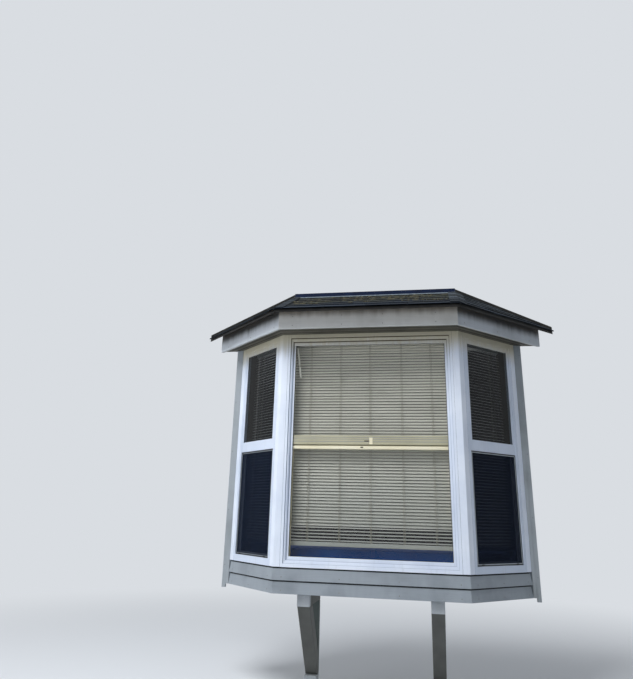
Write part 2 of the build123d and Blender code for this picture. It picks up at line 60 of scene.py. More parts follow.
# The camera stands in the yard about 4.9 m from the wall, lower than the seat, and looks up at the
# bay from a little to its right. Its place and lens are those of the photograph.
camera_place = Vector((0.40067, -4.88680, 0.43997))
camera_pitch, camera_yaw, camera_roll = radians(18.95), radians(-10.35), radians(1.55)
image_width, image_height = 633, 679
focal_length = 606.66       # in pixels of the image
centre_row = 304.98
sensor = 36.0
lens = bpy.data.cameras.new("camera")
lens.sensor_fit = "HORIZONTAL"
lens.sensor_width = sensor
lens.lens = sensor * focal_length / image_width
lens.shift_y = (centre_row - image_height / 2) / image_width
camera = bpy.data.objects.new("camera", lens)
camera.matrix_world = (Matrix.Translation(camera_place) @ Matrix.Rotation(-camera_yaw, 4, "Z")
                       @ Matrix.Rotation(pi / 2 + camera_pitch, 4, "X")
                       @ Matrix.Rotation(camera_roll, 4, "Z"))
bpy.context.scene.collection.objects.link(camera)
bpy.context.scene.camera = camera
bpy.context.scene.view_settings.view_transform = "Standard"


# The studio is a pale surround with three soft lamps, the largest high in front as the open sky is.
# Metal and glass mirror the same pale surround. What is seen through glass into the bay is dim, as a
# room is by day, and what is seen through it outwards is pale.
def linear(code):
    """Linear colour of an sRGB hex code."""
    channels = [int(code[i:i + 2], 16) / 255 for i in (1, 3, 5)]
    return [c / 12.92 if c <= 0.04045 else ((c + 0.055) / 1.055) ** 2.4 for c in channels] + [1.0]


def add_node(tree, kind, inputs=None, output=0, **settings):
    """Adds a node with its settings, gives its inputs a link or a value, where a hex code is a
    colour, and returns an output. Of a colour mix, inputs 0, 6 and 7 are the share and both colours."""
    node = tree.nodes.new("ShaderNode" + kind)
    for name, value in settings.items():
        setattr(node, name, value)
    for name, value in (inputs or {}).items():
        if isinstance(value, bpy.types.NodeSocket):
            tree.links.new(value, node.inputs[name])
        else:
            node.inputs[name].default_value = linear(value) if isinstance(value, str) else value
    return node.outputs[output] if len(node.outputs) else None


def bare_tree(owner):
    """The emptied node tree of a new world or material."""
    owner.use_nodes = True
    owner.node_tree.nodes.clear()
    return owner.node_tree


def ray_is(tree, first, second):
    """1 for rays of either kind, 0 for all others."""
    rays = [add_node(tree, "LightPath", output=f"Is {kind} Ray") for kind in (first, second)]
    return add_node(tree, "Math", {0: rays[0], 1: rays[1]}, operation="MAXIMUM")


MM = 0.001
surround = "#D9DDE2"
sky_strength, room_strength = 0.45, 0.02
bpy.context.scene.world = bpy.data.worlds.new("studio")
tree = bare_tree(bpy.context.scene.world)
lit, seen, room = (add_node(tree, "Background", {"Color": surround, "Strength": strength})
                   for strength in (sky_strength, 1.0, room_strength))
heading = add_node(tree, "TexCoord", output="Generated")
inwards = add_node(tree, "SeparateXYZ", {0: heading}, "Y")
inwards = add_node(tree, "MapRange", {"Value": inwards, "From Min": -0.05, "From Max": 0.1})
through = add_node(tree, "MixShader", {0: inwards, 1: seen, 2: room})
glass_ray = add_node(tree, "LightPath", output="Is Transmission Ray")
backdrop = add_node(tree, "MixShader", {0: ray_is(tree, "Camera", "Glossy"), 1: lit, 2: seen})
backdrop = add_node(tree, "MixShader", {0: glass_ray, 1: backdrop, 2: through})
add_node(tree, "OutputWorld", {"Surface": backdrop})

# The floor is matt vinyl just below the brackets' feet. It keeps the object's shadow, and goes over
# into the pale surround with distance.
floor_drop = 4 * MM
floor_half = 40.0
fade_start, fade_end = 1.6, 6.5
vinyl_floor = bpy.data.materials.new("matt_studio_vinyl")
tree = bare_tree(vinyl_floor)
matt = add_node(tree, "BsdfDiffuse", {"Color": surround})
glow = add_node(tree, "Emission", {"Color": surround})
away = add_node(tree, "VectorMath", {0: add_node(tree, "TexCoord", output="Object")}, "Value",
                operation="LENGTH")
away = add_node(tree, "MapRange", {"Value": away, "From Min": fade_start, "From Max": fade_end},
                interpolation_type="SMOOTHSTEP")
away = add_node(tree, "Math", {0: away, 1: ray_is(tree, "Camera", "Glossy")}, operation="MULTIPLY")
faded = add_node(tree, "MixShader", {0: away, 1: matt, 2: glow})
add_node(tree, "OutputMaterial", {"Surface": faded})
ground = bmesh.new()
bmesh.ops.create_grid(ground, x_segments=1, y_segments=1, size=floor_half)
bmesh.ops.translate(ground, verts=ground.verts, vec=(0, 0, cad_box[0].z - floor_drop))
ground_mesh = bpy.data.meshes.new("floor")
ground.to_mesh(ground_mesh)
ground.free()
ground_mesh.materials.append(vinyl_floor)
studio_floor = bpy.data.objects.new("floor", ground_mesh)
studio_floor.visible_transmission = False
bpy.context.scene.collection.objects.link(studio_floor)

lamp_aim = Vector((0, -0.3, 0.9))
for name, place, size, power in (("sky", (-2.3, -3.8, 6.4), 3.0, 440), ("yard", (-4.8, -4.0, 1.4), 3.4, 80),
                                 ("back", (0.6, 4.8, 4.6), 3.4, 60)):
    lamp = bpy.data.lights.new(name, "AREA")
    lamp.size = size
    lamp.energy = power
    stand = bpy.data.objects.new(name, lamp)
    stand.location = place
    stand.rotation_euler = (lamp_aim - Vector(place)).to_track_quat("-Z", "Y").to_euler()
    stand.visible_glossy = False
    stand.visible_transmission = False
    bpy.context.scene.collection.objects.link(stand)


# The platform is sawn softwood: rim joists, joists over the brackets and a ledger bolted to the wall.
# Sawn wood is matt, with pale and dark bands of grain along every board and a rough saw-cut skin.
def start_material(name, roughness, ior=1.5, **more):
    """A new material, its node tree and its Object coordinates."""
    material = bpy.data.materials.new(name)
    material.use_nodes = True
    tree = material.node_tree
    for socket, value in {"Roughness": roughness, "IOR": ior, **more}.items():
        tree.nodes["Principled BSDF"].inputs[socket].default_value = value
    return material, tree, add_node(tree, "TexCoord", output="Object")


def finish_material(material, base, coats, relief=None):
    """Lays coats, each a (cover, colour), over a base colour; relief is (height, depth, strength)."""
    tree = material.node_tree
    skin = tree.nodes["Principled BSDF"].inputs
    for cover, coat in coats:
        base = add_node(tree, "Mix", {0: cover, 6: base, 7: coat}, 2, data_type="RGBA")
    tree.links.new(base, skin["Base Color"])
    if relief:
        height, depth, strength = relief
        bump = add_node(tree, "Bump", {"Height": height, "Distance": depth, "Strength": strength})
        tree.links.new(bump, skin["Normal"])
    return material


def blotches(tree, place, scale, detail, start, end, thickest=1, distortion=0):
    """Cover in blotches: none where a noise is under start, the thickest where it is over end."""
    drift = add_node(tree, "TexNoise", {"Vector": place, "Scale": scale, "Detail": detail,
                                        "Distortion": distortion})
    return add_node(tree, "MapRange", {"Value": drift, "From Min": start, "From Max": end,
                                       "To Max": thickest})


def wood(name, pale, dark, band, stretch, rough):
    """Bare or primed wood whose growth bands are band wide and run along each board."""
    material, tree, _ = start_material(name, 0.75)
    grain = add_node(tree, "Attribute", output="Vector", attribute_name="grain")
    along = add_node(tree, "Mapping", {"Vector": grain, "Scale": (stretch, 1, 1)})
    bands = blotches(tree, along, 0.5 / band, 5, 0.38, 0.62, distortion=0.6)
    fibres = add_node(tree, "TexNoise", {"Vector": along, "Scale": 1 / (2 * MM), "Detail": 2})
    flecks = add_node(tree, "MapRange", {"Value": fibres, "From Min": 0.55, "From Max": 0.9, "To Max": 0.5})
    return finish_material(material, pale, [(bands, dark), (flecks, dark)], (fibres, rough, 0.6))


def copy_of(node):
    """Merged copy of a CAD node, with its flat faces whole again."""
    bm = bmesh.new()
    bm.from_mesh(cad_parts[node].data)
    bmesh.ops.remove_doubles(bm, verts=bm.verts, dist=0.02 * MM)
    bmesh.ops.dissolve_limit(bm, angle_limit=radians(0.5), verts=bm.verts, edges=bm.edges)
    return bm


def soften(bm, width, segments=2):
    """Rounds every edge where two faces meet at an angle."""
    sharp = [e for e in bm.edges if len(e.link_faces) == 2 and e.calc_face_angle() > radians(20)]
    bmesh.ops.bevel(bm, geom=sharp, offset=width, segments=segments, profile=0.5, affect="EDGES",
                    material=-1, clamp_overlap=True)


random.seed(7)


def lay_grain(bm):
    """Gives each board its own grain: x along its longest edge, starting at a random place."""
    layer = bm.verts.layers.float_vector.new("grain")
    met = set()
    bm.verts.ensure_lookup_table()
    for first in range(len(bm.verts)):
        if bm.verts[first] in met:
            continue
        board, front = [], [bm.verts[first]]
        met.add(front[0])
        while front:
            vert = front.pop()
            board.append(vert)
            for edge in vert.link_edges:
                other = edge.other_vert(vert)
                if other not in met:
                    met.add(other)
                    front.append(other)
        longest = max((e for v in board for e in v.link_edges), key=lambda e: (e.calc_length(), -e.index))
        along = (longest.verts[1].co - longest.verts[0].co).normalized()
        widest = max((f for v in board for f in v.link_faces), key=lambda f: (f.calc_area(), -f.index))
        across = widest.normal.cross(along).normalized()
        axes = Matrix((along, across, along.cross(across)))
        shift = Vector(random.uniform(-9, 9) for _ in range(3))
        for vert in board:
            vert[layer] = axes @ vert.co + shift


def show(bm, name, material, slot, *replaced, smooth=False, grain=False):
    """Makes a piece of a finished bmesh, with its finish, its body and the nodes that it stands for."""
    bmesh.ops.recalc_face_normals(bm, faces=bm.faces)
    bm.verts.index_update()
    bm.edges.index_update()
    bm.faces.index_update()
    if grain:
        lay_grain(bm)
    mesh = bpy.data.meshes.new(name)
    bm.to_mesh(mesh)
    bm.free()
    mesh.materials.append(material)
    mesh.polygons.foreach_set("use_smooth", [smooth] * len(mesh.polygons))
    piece = bpy.data.objects.new(name, mesh)
    bpy.context.scene.collection.objects.link(piece)
    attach(piece, "root")
    if replaced:
        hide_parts(*replaced)
    return piece


def show_node(node, name, edge, material, slot, segments=2, grain=True):
    """A piece that has its CAD node's own shape, with rounded edges."""
    bm = copy_of(node)
    soften(bm, edge, segments)
    return show(bm, name, material, slot, node, grain=grain)


softwood = wood("sawn_softwood", "#CDB38C", "#A2804F", 9 * MM, 0.04, 0.5 * MM)
show_node("platform_frame", "platform_joists", 2 * MM, softwood, "framing_lumber", 1)

# The seat board and head board are thick panels with a coat of white primer, smooth and a little
# uneven; the grain under the primer shows as faint ridges.
primer = wood("primed_panel", "#DEDAD0", "#CBC5B6", 14 * MM, 0.04, 0.2 * MM)
show_node("seat_board", "seat_panel", 1.5 * MM, primer, "interior_board", 1)
show_node("head_board", "head_panel", 1.5 * MM, primer, "interior_board", 1)


# A bracket is a square timber arm, a leaning strut and a leg with a foot block, all under grey oil paint.
# The paint has chalked, raised grain shows. Under the platform the arm, and the leg above its foot block,
# are painted dark as their shade there, with some mildew; the strut's paint is much darker than the arm's.
def creeping_shade_and_dirt(tree, place, runs, axis, start, end, waver, thickest=1):
    """Cover that grows along an axis from start to end, its front wavering with the rain's runs. It paints
    shade as well as dirt.
    """
    height = add_node(tree, "SeparateXYZ", {0: place}, axis)
    waver = add_node(tree, "MapRange", {"Value": runs, "To Min": -waver, "To Max": waver})
    height = add_node(tree, "Math", {0: height, 1: waver}, operation="ADD")
    return add_node(tree, "MapRange", {"Value": height, "From Min": start, "From Max": end,
                                       "To Max": thickest}, interpolation_type="SMOOTHSTEP")


def paint(name, coat, stain, shade_and_dirt=None, worn=0.2, stain_share=(0.48, 0.74)):
    """Chalked oil paint on wood. shade_and_dirt is (axis, from, to, colour): painted shade with some dirt,
    growing along an axis.
    """
    material, tree, place = start_material(name, 0.6, 1.48)
    grain = add_node(tree, "Attribute", output="Vector", attribute_name="grain")
    along = add_node(tree, "Mapping", {"Vector": grain, "Scale": (0.03, 1, 1)})
    fibres = add_node(tree, "TexNoise", {"Vector": along, "Scale": 1 / (5 * MM), "Detail": 4})
    clouds = blotches(tree, place, 5, 4, *stain_share, 0.8)
    fallen = add_node(tree, "Mapping", {"Vector": place, "Scale": (1, 1, 0.08)})
    runs = add_node(tree, "TexNoise", {"Vector": fallen, "Scale": 22, "Detail": 5})
    streaks = add_node(tree, "MapRange", {"Value": runs, "From Min": 0.5, "From Max": 0.85, "To Max": 0.35})
    ridges = add_node(tree, "MapRange", {"Value": fibres, "From Min": 0.5, "From Max": 0.8, "To Max": worn})
    coats = [(clouds, stain), (streaks, stain), (ridges, "#5C605E")]
    if shade_and_dirt:
        # Painted shade with some dirt where the piece is sheltered.
        axis, start, end, dirt = shade_and_dirt
        cover = creeping_shade_and_dirt(tree, place, runs, axis, start, end, 0.3 * (end - start))
        coats.insert(2, (cover, dirt))
    return finish_material(material, coat, coats, (fibres, 0.8 * MM, 0.5))


arm_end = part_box("left_bracket_arm")[0].y
block_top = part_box("left_bracket_strut")[0].z
timber_paint = {
    # Painted shade with some mildew on the arm under the platform, behind its lit end.
    "arm": paint("grey_oil_paint_arm", "#A9AFB5", "#8F959A",
                 ("Y", arm_end + 6 * MM, arm_end + 60 * MM, "#3F423D")),
    # The strut's paint is much darker than the arm's.
    "strut": paint("dark_oil_paint_strut", "#5C5D5A", "#484946", stain_share=(0.35, 0.65)),
    # Painted shade with some mildew on the leg above its foot block.
    "leg": paint("shaded_oil_paint_leg", "#A0A6AA", "#858A8C",
                 ("Z", block_top - 6 * MM, block_top + 25 * MM, "#565E5C")),
}
SIDES = ("left", "right")
for side in SIDES:
    for part, finish in timber_paint.items():
        timber = f"{side}_bracket_{part}"
        show_node(timber, f"{timber}_timber", 4 * MM, finish, "bracket_paint", 3)

# The underside is closed by a sheet of plywood under the same grey paint, which mildew has dulled in
# wide soft patches.
bottom_paint = paint("grey_oil_paint_bottom", "#7F8583", "#5E6461", stain_share=(0.38, 0.66))
show_node("platform_bottom", "bottom_sheet", 1.5 * MM, bottom_paint, "bottom_panel", 1)

# Window frames, corner posts and end jambs are extruded vinyl, and frame members are welded at their mitres.
# Vinyl is smooth and satin and greyed by dust; its tan near the window heads is painted shade under the
# eave, with some soiling.
FACETS = ("front", "left", "right")
quarter = radians(45)
head_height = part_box("head_board")[0].z
# World to each window's own axes: x along the facet, y up and z out of it
to_facet = {facet: Matrix(((cos(turn), sin(turn), 0, 0), (0, 0, 1, 0), (sin(turn), -cos(turn), 0, 0),
                           (0, 0, 0, 1))) for facet, turn in zip(FACETS, (0, -quarter, quarter))}


def vinyl(name, clean, dusty, roughness, dirt, room_shade_from=None):
    """Weathered vinyl, tan near the window heads as painted shade under the eave with some soiling; dirt is
    how far rain runs grey it. Behind the depth room_shade_from of a side window it is painted dark brown as
    the shade of the room side."""
    material, tree, place = start_material(name, roughness, 1.53)
    clouds = blotches(tree, place, 3.2, 4, 0.4, 0.72)
    fallen = add_node(tree, "Mapping", {"Vector": place, "Scale": (1, 1, 0.05)})
    runs = add_node(tree, "TexNoise", {"Vector": fallen, "Scale": 55, "Detail": 3})
    streaks = add_node(tree, "MapRange", {"Value": runs, "From Min": 0.56, "From Max": 0.85, "To Max": dirt})
    # Painted shade under the eave, with some soiling: tan near the window heads.
    eave_shade_and_grime = creeping_shade_and_dirt(tree, place, runs, "Z", head_height - 0.2, head_height - 0.02, 0.05, 0.92)
    coats = [(clouds, dusty), (streaks, "#B4BBC4"), (eave_shade_and_grime, "#B9B299")]
    # Painted shade of the room: dark brown behind the side pane's depth.
    if room_shade_from is not None:
        sideways = add_node(tree, "SeparateXYZ", {0: place}, "X")
        sideways = add_node(tree, "Math", {0: sideways}, operation="ABSOLUTE")
        forwards = add_node(tree, "SeparateXYZ", {0: place}, "Y")
        depth = add_node(tree, "Math", {0: sideways, 1: forwards}, operation="SUBTRACT")
        depth = add_node(tree, "Math", {0: depth, 1: cos(quarter)}, operation="MULTIPLY")
        behind = add_node(tree, "MapRange", {"Value": depth, "From Min": room_shade_from - 4 * MM,
                                             "From Max": room_shade_from, "To Min": 1, "To Max": 0})
        coats.append((behind, "#4B453D"))
    ripple = add_node(tree, "TexNoise", {"Vector": place, "Scale": 40, "Detail": 2})
    return finish_material(material, clean, coats, (ripple, 0.3 * MM, 0.3))


def on_facet(bm, facet):
    """Turns a bmesh made on a window's axes into the world."""
    bmesh.ops.transform(bm, matrix=to_facet[facet].inverted(), verts=bm.verts)
    return bm


def extent(bm):
    """Lowest and highest corner of a bmesh."""
    return [Vector(end(v.co[i] for v in bm.verts) for i in range(3)) for end in (min, max)]


def span(node, facet):
    """Lowest and highest corner of a CAD node on a window's axes."""
    bm = copy_of(node)
    bmesh.ops.transform(bm, matrix=to_facet[facet], verts=bm.verts)
    corners = extent(bm)
    bm.free()
    return corners


def add_to(target, bm):
    """Joins one bmesh into another and frees it."""
    mesh = bpy.data.meshes.new("joined")
    bm.to_mesh(mesh)
    bm.free()
    target.from_mesh(mesh)
    bpy.data.meshes.remove(mesh)


def cut(bm, point, normal):
    """Cuts away what lies beyond a plane and closes the cut."""
    sliced = bmesh.ops.bisect_plane(bm, geom=bm.verts[:] + bm.edges[:] + bm.faces[:], dist=0.001 * MM,
                                    plane_co=point, plane_no=normal, clear_outer=True)
    rim = [e for e in sliced["geom_cut"] if isinstance(e, bmesh.types.BMEdge)]
    bmesh.ops.holes_fill(bm, edges=rim, sides=0)


def mitred(node, facet, edge):
    """A frame's four members, cut on the line from each outer corner to the inner one."""
    whole = copy_of(node)
    bmesh.ops.transform(whole, matrix=to_facet[facet], verts=whole.verts)
    outer = extent(whole)
    middle = (outer[0] + outer[1]) / 2
    inner = [[max(v.co[i] for v in whole.verts if v.co[i] < middle[i]) for i in (0, 1)],
             [min(v.co[i] for v in whole.verts if v.co[i] > middle[i]) for i in (0, 1)]]
    corners = [(outer[i].x, outer[j].y, inner[i][0], inner[j][1])
               for i, j in ((0, 0), (1, 0), (1, 1), (0, 1))]
    halves = (Vector((0, 1, 0)), Vector((-1, 0, 0)), Vector((0, -1, 0)), Vector((1, 0, 0)))
    members = bmesh.new()
    for side in range(4):
        member = whole.copy()
        cut(member, middle, halves[side])
        for outer_x, outer_y, inner_x, inner_y in (corners[side], corners[(side + 1) % 4]):
            across = Vector((outer_y - inner_y, inner_x - outer_x, 0))
            if across.dot(halves[side]) < 0:
                across.negate()
            cut(member, Vector((outer_x, outer_y, 0)), across)
        soften(member, edge)
        add_to(members, member)
    whole.free()
    return on_facet(members, facet)


def recoat(piece, material, chosen):
    """Gives a second finish to a piece's chosen faces."""
    piece.data.materials.append(material)
    for face in piece.data.polygons:
        face.material_index = 1 if chosen(face) else 0


frame_vinyl = vinyl("extruded_white_vinyl", "#DDE5F2", "#CCD6E7", 0.38, 0.4)
post_round = 3 * MM         # leaves a V joint between the posts and the frames
# The posts' and jambs' faces on the room side are painted dull brown as the shade of the room.
jamb_room_shade = paint("room_shaded_jamb_lining", "#5A5248", "#453E36", worn=0.3)     # dull brown, half in shade
# The side windows' vinyl is a darker, bluer copy of the white, as painted shade of the side facets, and
# painted dark brown behind the side panes.
shaded_side_vinyl = vinyl("shaded_two_tone_vinyl", "#CBD5E6", "#BCC8DA", 0.38, 0.4,
                   room_shade_from=span("left_glass", "left")[0].z)
frame_members = mitred("front_frame", "front", 1.6 * MM)
show(frame_members, "front_window_frame", frame_vinyl, "window_vinyl", "front_frame")
for side, outwards in zip(SIDES, (-1, 1)):
    frame_members = mitred(f"{side}_frame", side, 2 * MM)
    show(frame_members, f"{side}_window_frame", shaded_side_vinyl, "window_vinyl", f"{side}_frame")
    for part in ("corner_post", "end_jamb"):
        post = f"{side}_{part}"
        cover = show_node(post, f"{post}_cover", post_round, frame_vinyl, "window_vinyl")
        recoat(cover, jamb_room_shade, lambda face: face.normal.x * outwards < -0.5)


# Grey sealant lines fill the joints beside the posts and the inner corners of the front frame's steps, and
# their dark tone paints the shade in these joints and corners: darker on the left and head, as the shaded
# sides, paler on the right and sill, as the lit sides. A black rubber gasket, matt and dusty, runs round the
# outer pane.
def silicone(name, pale, dark):
    """Sealant that turns brown under the window head, dusty and with painted shade under the eave."""
    material, tree, place = start_material(name, 0.5, 1.43)
    patches = add_node(tree, "TexNoise", {"Vector": place, "Scale": 9, "Detail": 3})
    height = add_node(tree, "SeparateXYZ", {0: place}, "Z")
    eave_shade_and_grime = add_node(tree, "MapRange", {"Value": height, "From Min": head_height - 0.3,
                                        "From Max": head_height - 0.1}, interpolation_type="SMOOTHSTEP")
    return finish_material(material, pale, [(patches, dark), (eave_shade_and_grime, "#4C4534")])


def mottled(name, base, patch, scale, roughness, ior=1.5, detail=3, fall=1, **more):
    """A plain finish with patches of a second tone, drawn out downwards where fall is under 1."""
    material, tree, place = start_material(name, roughness, ior, **more)
    fallen = add_node(tree, "Mapping", {"Vector": place, "Scale": (1, 1, fall)})
    patches = add_node(tree, "TexNoise", {"Vector": fallen, "Scale": scale, "Detail": detail})
    return finish_material(material, base, [(patches, patch)])


def bar(low, high, edge=0):
    """A box between two corners, its edges rounded."""
    bm = bmesh.new()
    bmesh.ops.create_cube(bm, size=1)
    bmesh.ops.scale(bm, verts=bm.verts, vec=[b - a for a, b in zip(low, high)])
    bmesh.ops.translate(bm, verts=bm.verts, vec=[(a + b) / 2 for a, b in zip(low, high)])
    if edge:
        soften(bm, edge)
    return bm


def lining(box, width, back, front, edge=0):
    """Four thin bars just inside a box (x0, y0, x1, y1) on a window's axes."""
    x0, y0, x1, y1 = box
    ring = bmesh.new()
    for low, high in (((x0, y0), (x1, y0 + width)), ((x0, y1 - width), (x1, y1)),
                      ((x0, y0 + width), (x0 + width, y1 - width)),
                      ((x1 - width, y0 + width), (x1, y1 - width))):
        add_to(ring, bar((*low, back), (*high, front), edge))
    return ring


shaded_sealant = silicone("shade_dark_silicone_sealant", "#8594AE", "#56627A")
lit_sealant = silicone("lit_pale_silicone_sealant", "#B9C4D4", "#98A4B8")
gasket = mottled("black_rubber_gasket", "#23282D", "#3A4046", 20, 0.7, 1.52)
glass_side, glass_sill, glass_head = 54 * MM, 68 * MM, 87 * MM      # front frame, outer edge to glass
steps, step_depth, line_width, head_line, thin_line = 3, 6 * MM, 4.4 * MM, 7.5 * MM, 2.4 * MM
bead_round = 0.3 * MM
low, high = span("front_frame", "front")


def step_box(share):
    """Outline of a step of the front frame, a share of the way from its outer edge to the glass."""
    return (low.x + glass_side * share, low.y + glass_sill * share,
            high.x - glass_side * share, high.y - glass_head * share)


shaded_lines, lit_lines = bmesh.new(), bmesh.new()
# Painted shade in the steps' inner corners: dark lines on the left and head, pale ones on the right and
# sill.
for step in range(1, steps):
    back, front = high.z - step * step_depth - MM, high.z - step * step_depth + 0.8 * MM
    x0, y0, x1, y1 = step_box(step / steps)
    for target, left, foot, right, top in (
            (shaded_lines, x0, y0, x0 + line_width, y1), (shaded_lines, x0 + line_width, y1 - head_line, x1, y1),
            (lit_lines, x1 - thin_line, y0, x1, y1 - head_line),
            (lit_lines, x0 + line_width, y0, x1 - thin_line, y0 + thin_line)):
        add_to(target, bar((left, foot, back), (right, top, front), bead_round))
# Painted shade in the V joints beside the posts.
joint_half, joint_back, joint_depth = 2.8 * MM, 6 * MM, 1.6 * MM
for facet in FACETS:
    start, end = span(f"{facet}_frame", facet)
    for x in (start.x, end.x):
        seam = bar((x - joint_half, start.y, end.z - joint_back),
                   (x + joint_half, end.y, end.z - joint_depth))
        bmesh.ops.transform(seam, matrix=to_facet["front"] @ to_facet[facet].inverted(), verts=seam.verts)
        add_to(shaded_lines, seam)
show(on_facet(shaded_lines, "front"), "shaded_joint_sealant", shaded_sealant, "window_vinyl")
show(on_facet(lit_lines, "front"), "lit_sill_sealant", lit_sealant, "window_vinyl")
pane_face = span("front_storm_pane", "front")[1].z
gasket_ring = lining(step_box(1), 3 * MM, pane_face, pane_face + 1.5 * MM, 0.4 * MM)
show(on_facet(gasket_ring, "front"), "front_pane_gasket", gasket, "window_vinyl")

# Side sashes are of the side windows' vinyl. The front sashes stand behind the outer pane and are cream: the
# upper one is painted darker in the blind's tone, a painted reflection, and the lower one is painted pale as
# painted sunlight, as is the pull rail along the upper one's foot.
# Painted light: the upper sash darker as a painted reflection in the blind's tone, the lower one pale as
# painted sunlight.
front_vinyl = {"front_lower_sash": vinyl("sunlit_cream_vinyl", "#DAD1AE", "#C4BA94", 0.42, 0.2),
               "front_upper_sash": vinyl("reflection_dulled_cream_vinyl", "#B9B59C", "#A5A189", 0.5, 0.2)}
# The pull rail and fastener case are painted pale as painted sunlight.
pull_vinyl = vinyl("sunlit_ivory_vinyl", "#F6F0D8", "#E9E0BF", 0.35, 0.1)
for facet in FACETS:
    for node in (f"{facet}_upper_sash", f"{facet}_lower_sash"):
        sash = mitred(node, facet, 1.2 * MM)
        show(sash, f"{node}_members", front_vinyl.get(node, shaded_side_vinyl), "window_vinyl", node)
upper_low, upper_high = span("front_upper_sash", "front")
lower_high = span("front_lower_sash", "front")[1]
rail_drop, rail_gap, rail_inset = 32 * MM, 9 * MM, 25 * MM
pull = bar((upper_low.x + rail_inset, upper_low.y - rail_drop, lower_high.z - MM),
           (upper_high.x - rail_inset, upper_low.y - rail_gap, upper_high.z - 4 * MM), 3 * MM)
show(on_facet(pull, "front"), "front_pull_rail", pull_vinyl, "window_vinyl")

# Dark strips along the upper rail paint the shade of shallow grooves, and the sash fastener's cream case
# stands on it right of the middle. Its lever and the catch in the pull rail below are brass, drawn dark as
# painted shade of the lever and of the catch's hole.
# The lever and catch are painted dark: painted shade of the lever and of the catch's hole.
shade_dark_brass = mottled("shade_darkened_brass", "#4A4234", "#6B5F48", 80, 0.45, Metallic=1.0)
groove_feet, groove_width = (20 * MM, 37 * MM, 50 * MM), 2.2 * MM
# Left, foot, right and top in mm, from the window's middle and the upper sash's foot
case_place, lever_place, catch_place = (2, 2, 26, 50), (-34, 22, 2, 29), (-62, -24, -42, -14)
rail_face = upper_high.z


def on_rail(place, back, front, edge):
    """A bar at a place on the upper rail, from back to front of the rail's face in mm."""
    left, foot, right, top = place
    return bar((left * MM, upper_low.y + foot * MM, rail_face + back * MM),
               (right * MM, upper_low.y + top * MM, rail_face + front * MM), edge * MM)


# Dark strips paint the shade of the rail's grooves.
lines = bmesh.new()
for foot in groove_feet:
    add_to(lines, bar((upper_low.x + rail_inset, upper_low.y + foot, rail_face - MM),
                      (upper_high.x - rail_inset, upper_low.y + foot + groove_width, rail_face + 0.3 * MM)))
show(on_facet(lines, "front"), "front_rail_groove_shade", shaded_sealant, "window_vinyl")
case = on_rail(case_place, -1, 1.6, 1.2)
show(on_facet(case, "front"), "front_fastener_case", pull_vinyl, "lock_metal")
lever = on_rail(lever_place, -1, 1.4, 1)
add_to(lever, on_rail(catch_place, -5, -3.2, 0.8))
show(on_facet(lever, "front"), "front_fastener_lever", shade_dark_brass, "lock_metal")


# Panes are float glass, smooth and colourless at the front, and light passes them without a shadow. The side
# panes are tinted grey, painted shade of the dim room behind them. The eye looks through up to four faces of
# glass in a row, so a low index lets them together mirror about as much as one pane does.
def pane(name, tint, ior):
    """Tinted glass; shadow and diffuse rays pass straight through."""
    material = bpy.data.materials.new(name)
    tree = bare_tree(material)
    glass = add_node(tree, "BsdfPrincipled", {"Base Color": tint, "Roughness": 0.0, "IOR": ior,
                                              "Transmission Weight": 1.0})
    clear = add_node(tree, "BsdfTransparent", {"Color": tint})
    surface = add_node(tree, "MixShader", {0: ray_is(tree, "Shadow", "Diffuse"), 1: glass, 2: clear})
    add_node(tree, "OutputMaterial", {"Surface": surface})
    return material


front_glass = pane("clear_float_glass", "#FBFBFA", 1.2)
# The side panes' grey tint paints the shade of the dim room behind them.
side_shade_glass = pane("shade_grey_float_glass", "#A6ABAE", 1.2)
for node, glass in (("front_storm_pane", front_glass), ("front_sash_glass", front_glass),
                    ("left_glass", side_shade_glass), ("right_glass", side_shade_glass)):
    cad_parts[node].material_slots[0].material = glass

# Sash locks are small die-castings on the meeting rails: a base, a round cam and its lever. Their
# white enamel is glossy, yellowed in the hollows.
lock_enamel = mottled("white_enamelled_zinc", "#EDEBE0", "#C9C4B2", 60, 0.35)
show_node("sash_locks", "sash_lock_castings", 1.2 * MM, lock_enamel, "lock_metal", grain=False)

# An insect screen is woven fibreglass mesh, dark and half see-through, in a rolled aluminium frame under
# satin dark enamel; its inner lip is drawn as bright bare metal, a painted highlight along the frame. Two
# tabs of smooth black nylon near its foot hold it in the track.
screen_bar, lip_width = 14 * MM, 5 * MM
tab_half, tab_height, tab_inset = 13 * MM, 11 * MM, 62 * MM
tab_back, tab_proud, frame_back = 3 * MM, 2 * MM, 2 * MM        # from the lip's front face
grip_radius, grip_height, grip_rise = 4 * MM, 3 * MM, 2.4 * MM
screen_enamel = mottled("dark_enamelled_aluminium", "#191C1F", "#33383C", 40, 0.45, fall=0.15)
# The lip's bright metal is a painted highlight along the screen frame.
bright_lip = mottled("highlight_aluminium_lip", "#868E93", "#A9B0B4", 30, 0.4, Metallic=1.0)
tab_nylon = mottled("moulded_black_nylon", "#0D0E0F", "#1D1F21", 200, 0.5, detail=2)
weave_pitch = 3.5 * MM      # real mesh has 1.4 mm holes, drawn wider so that it shows
lost_gloss = {"Specular IOR Level": 0.1}        # light is lost among the threads
screen_mesh, tree, place = start_material("woven_fibreglass_mesh", 0.8, Alpha=0.8, **lost_gloss)
threads = []
for axis, pitch in (("X", weave_pitch * cos(quarter)), ("Z", weave_pitch)):
    line = add_node(tree, "SeparateXYZ", {0: place}, axis)
    wave = add_node(tree, "Math", {0: line, 1: 2 * pi / pitch}, operation="MULTIPLY")
    threads.append(add_node(tree, "Math", {0: wave}, operation="SINE"))
thread = add_node(tree, "Math", {0: threads[0], 1: threads[1]}, operation="MAXIMUM")
thread = add_node(tree, "MapRange", {"Value": thread, "From Min": -0.2, "From Max": 0.8})
finish_material(screen_mesh, "#0B121E", [(thread, "#172031")])
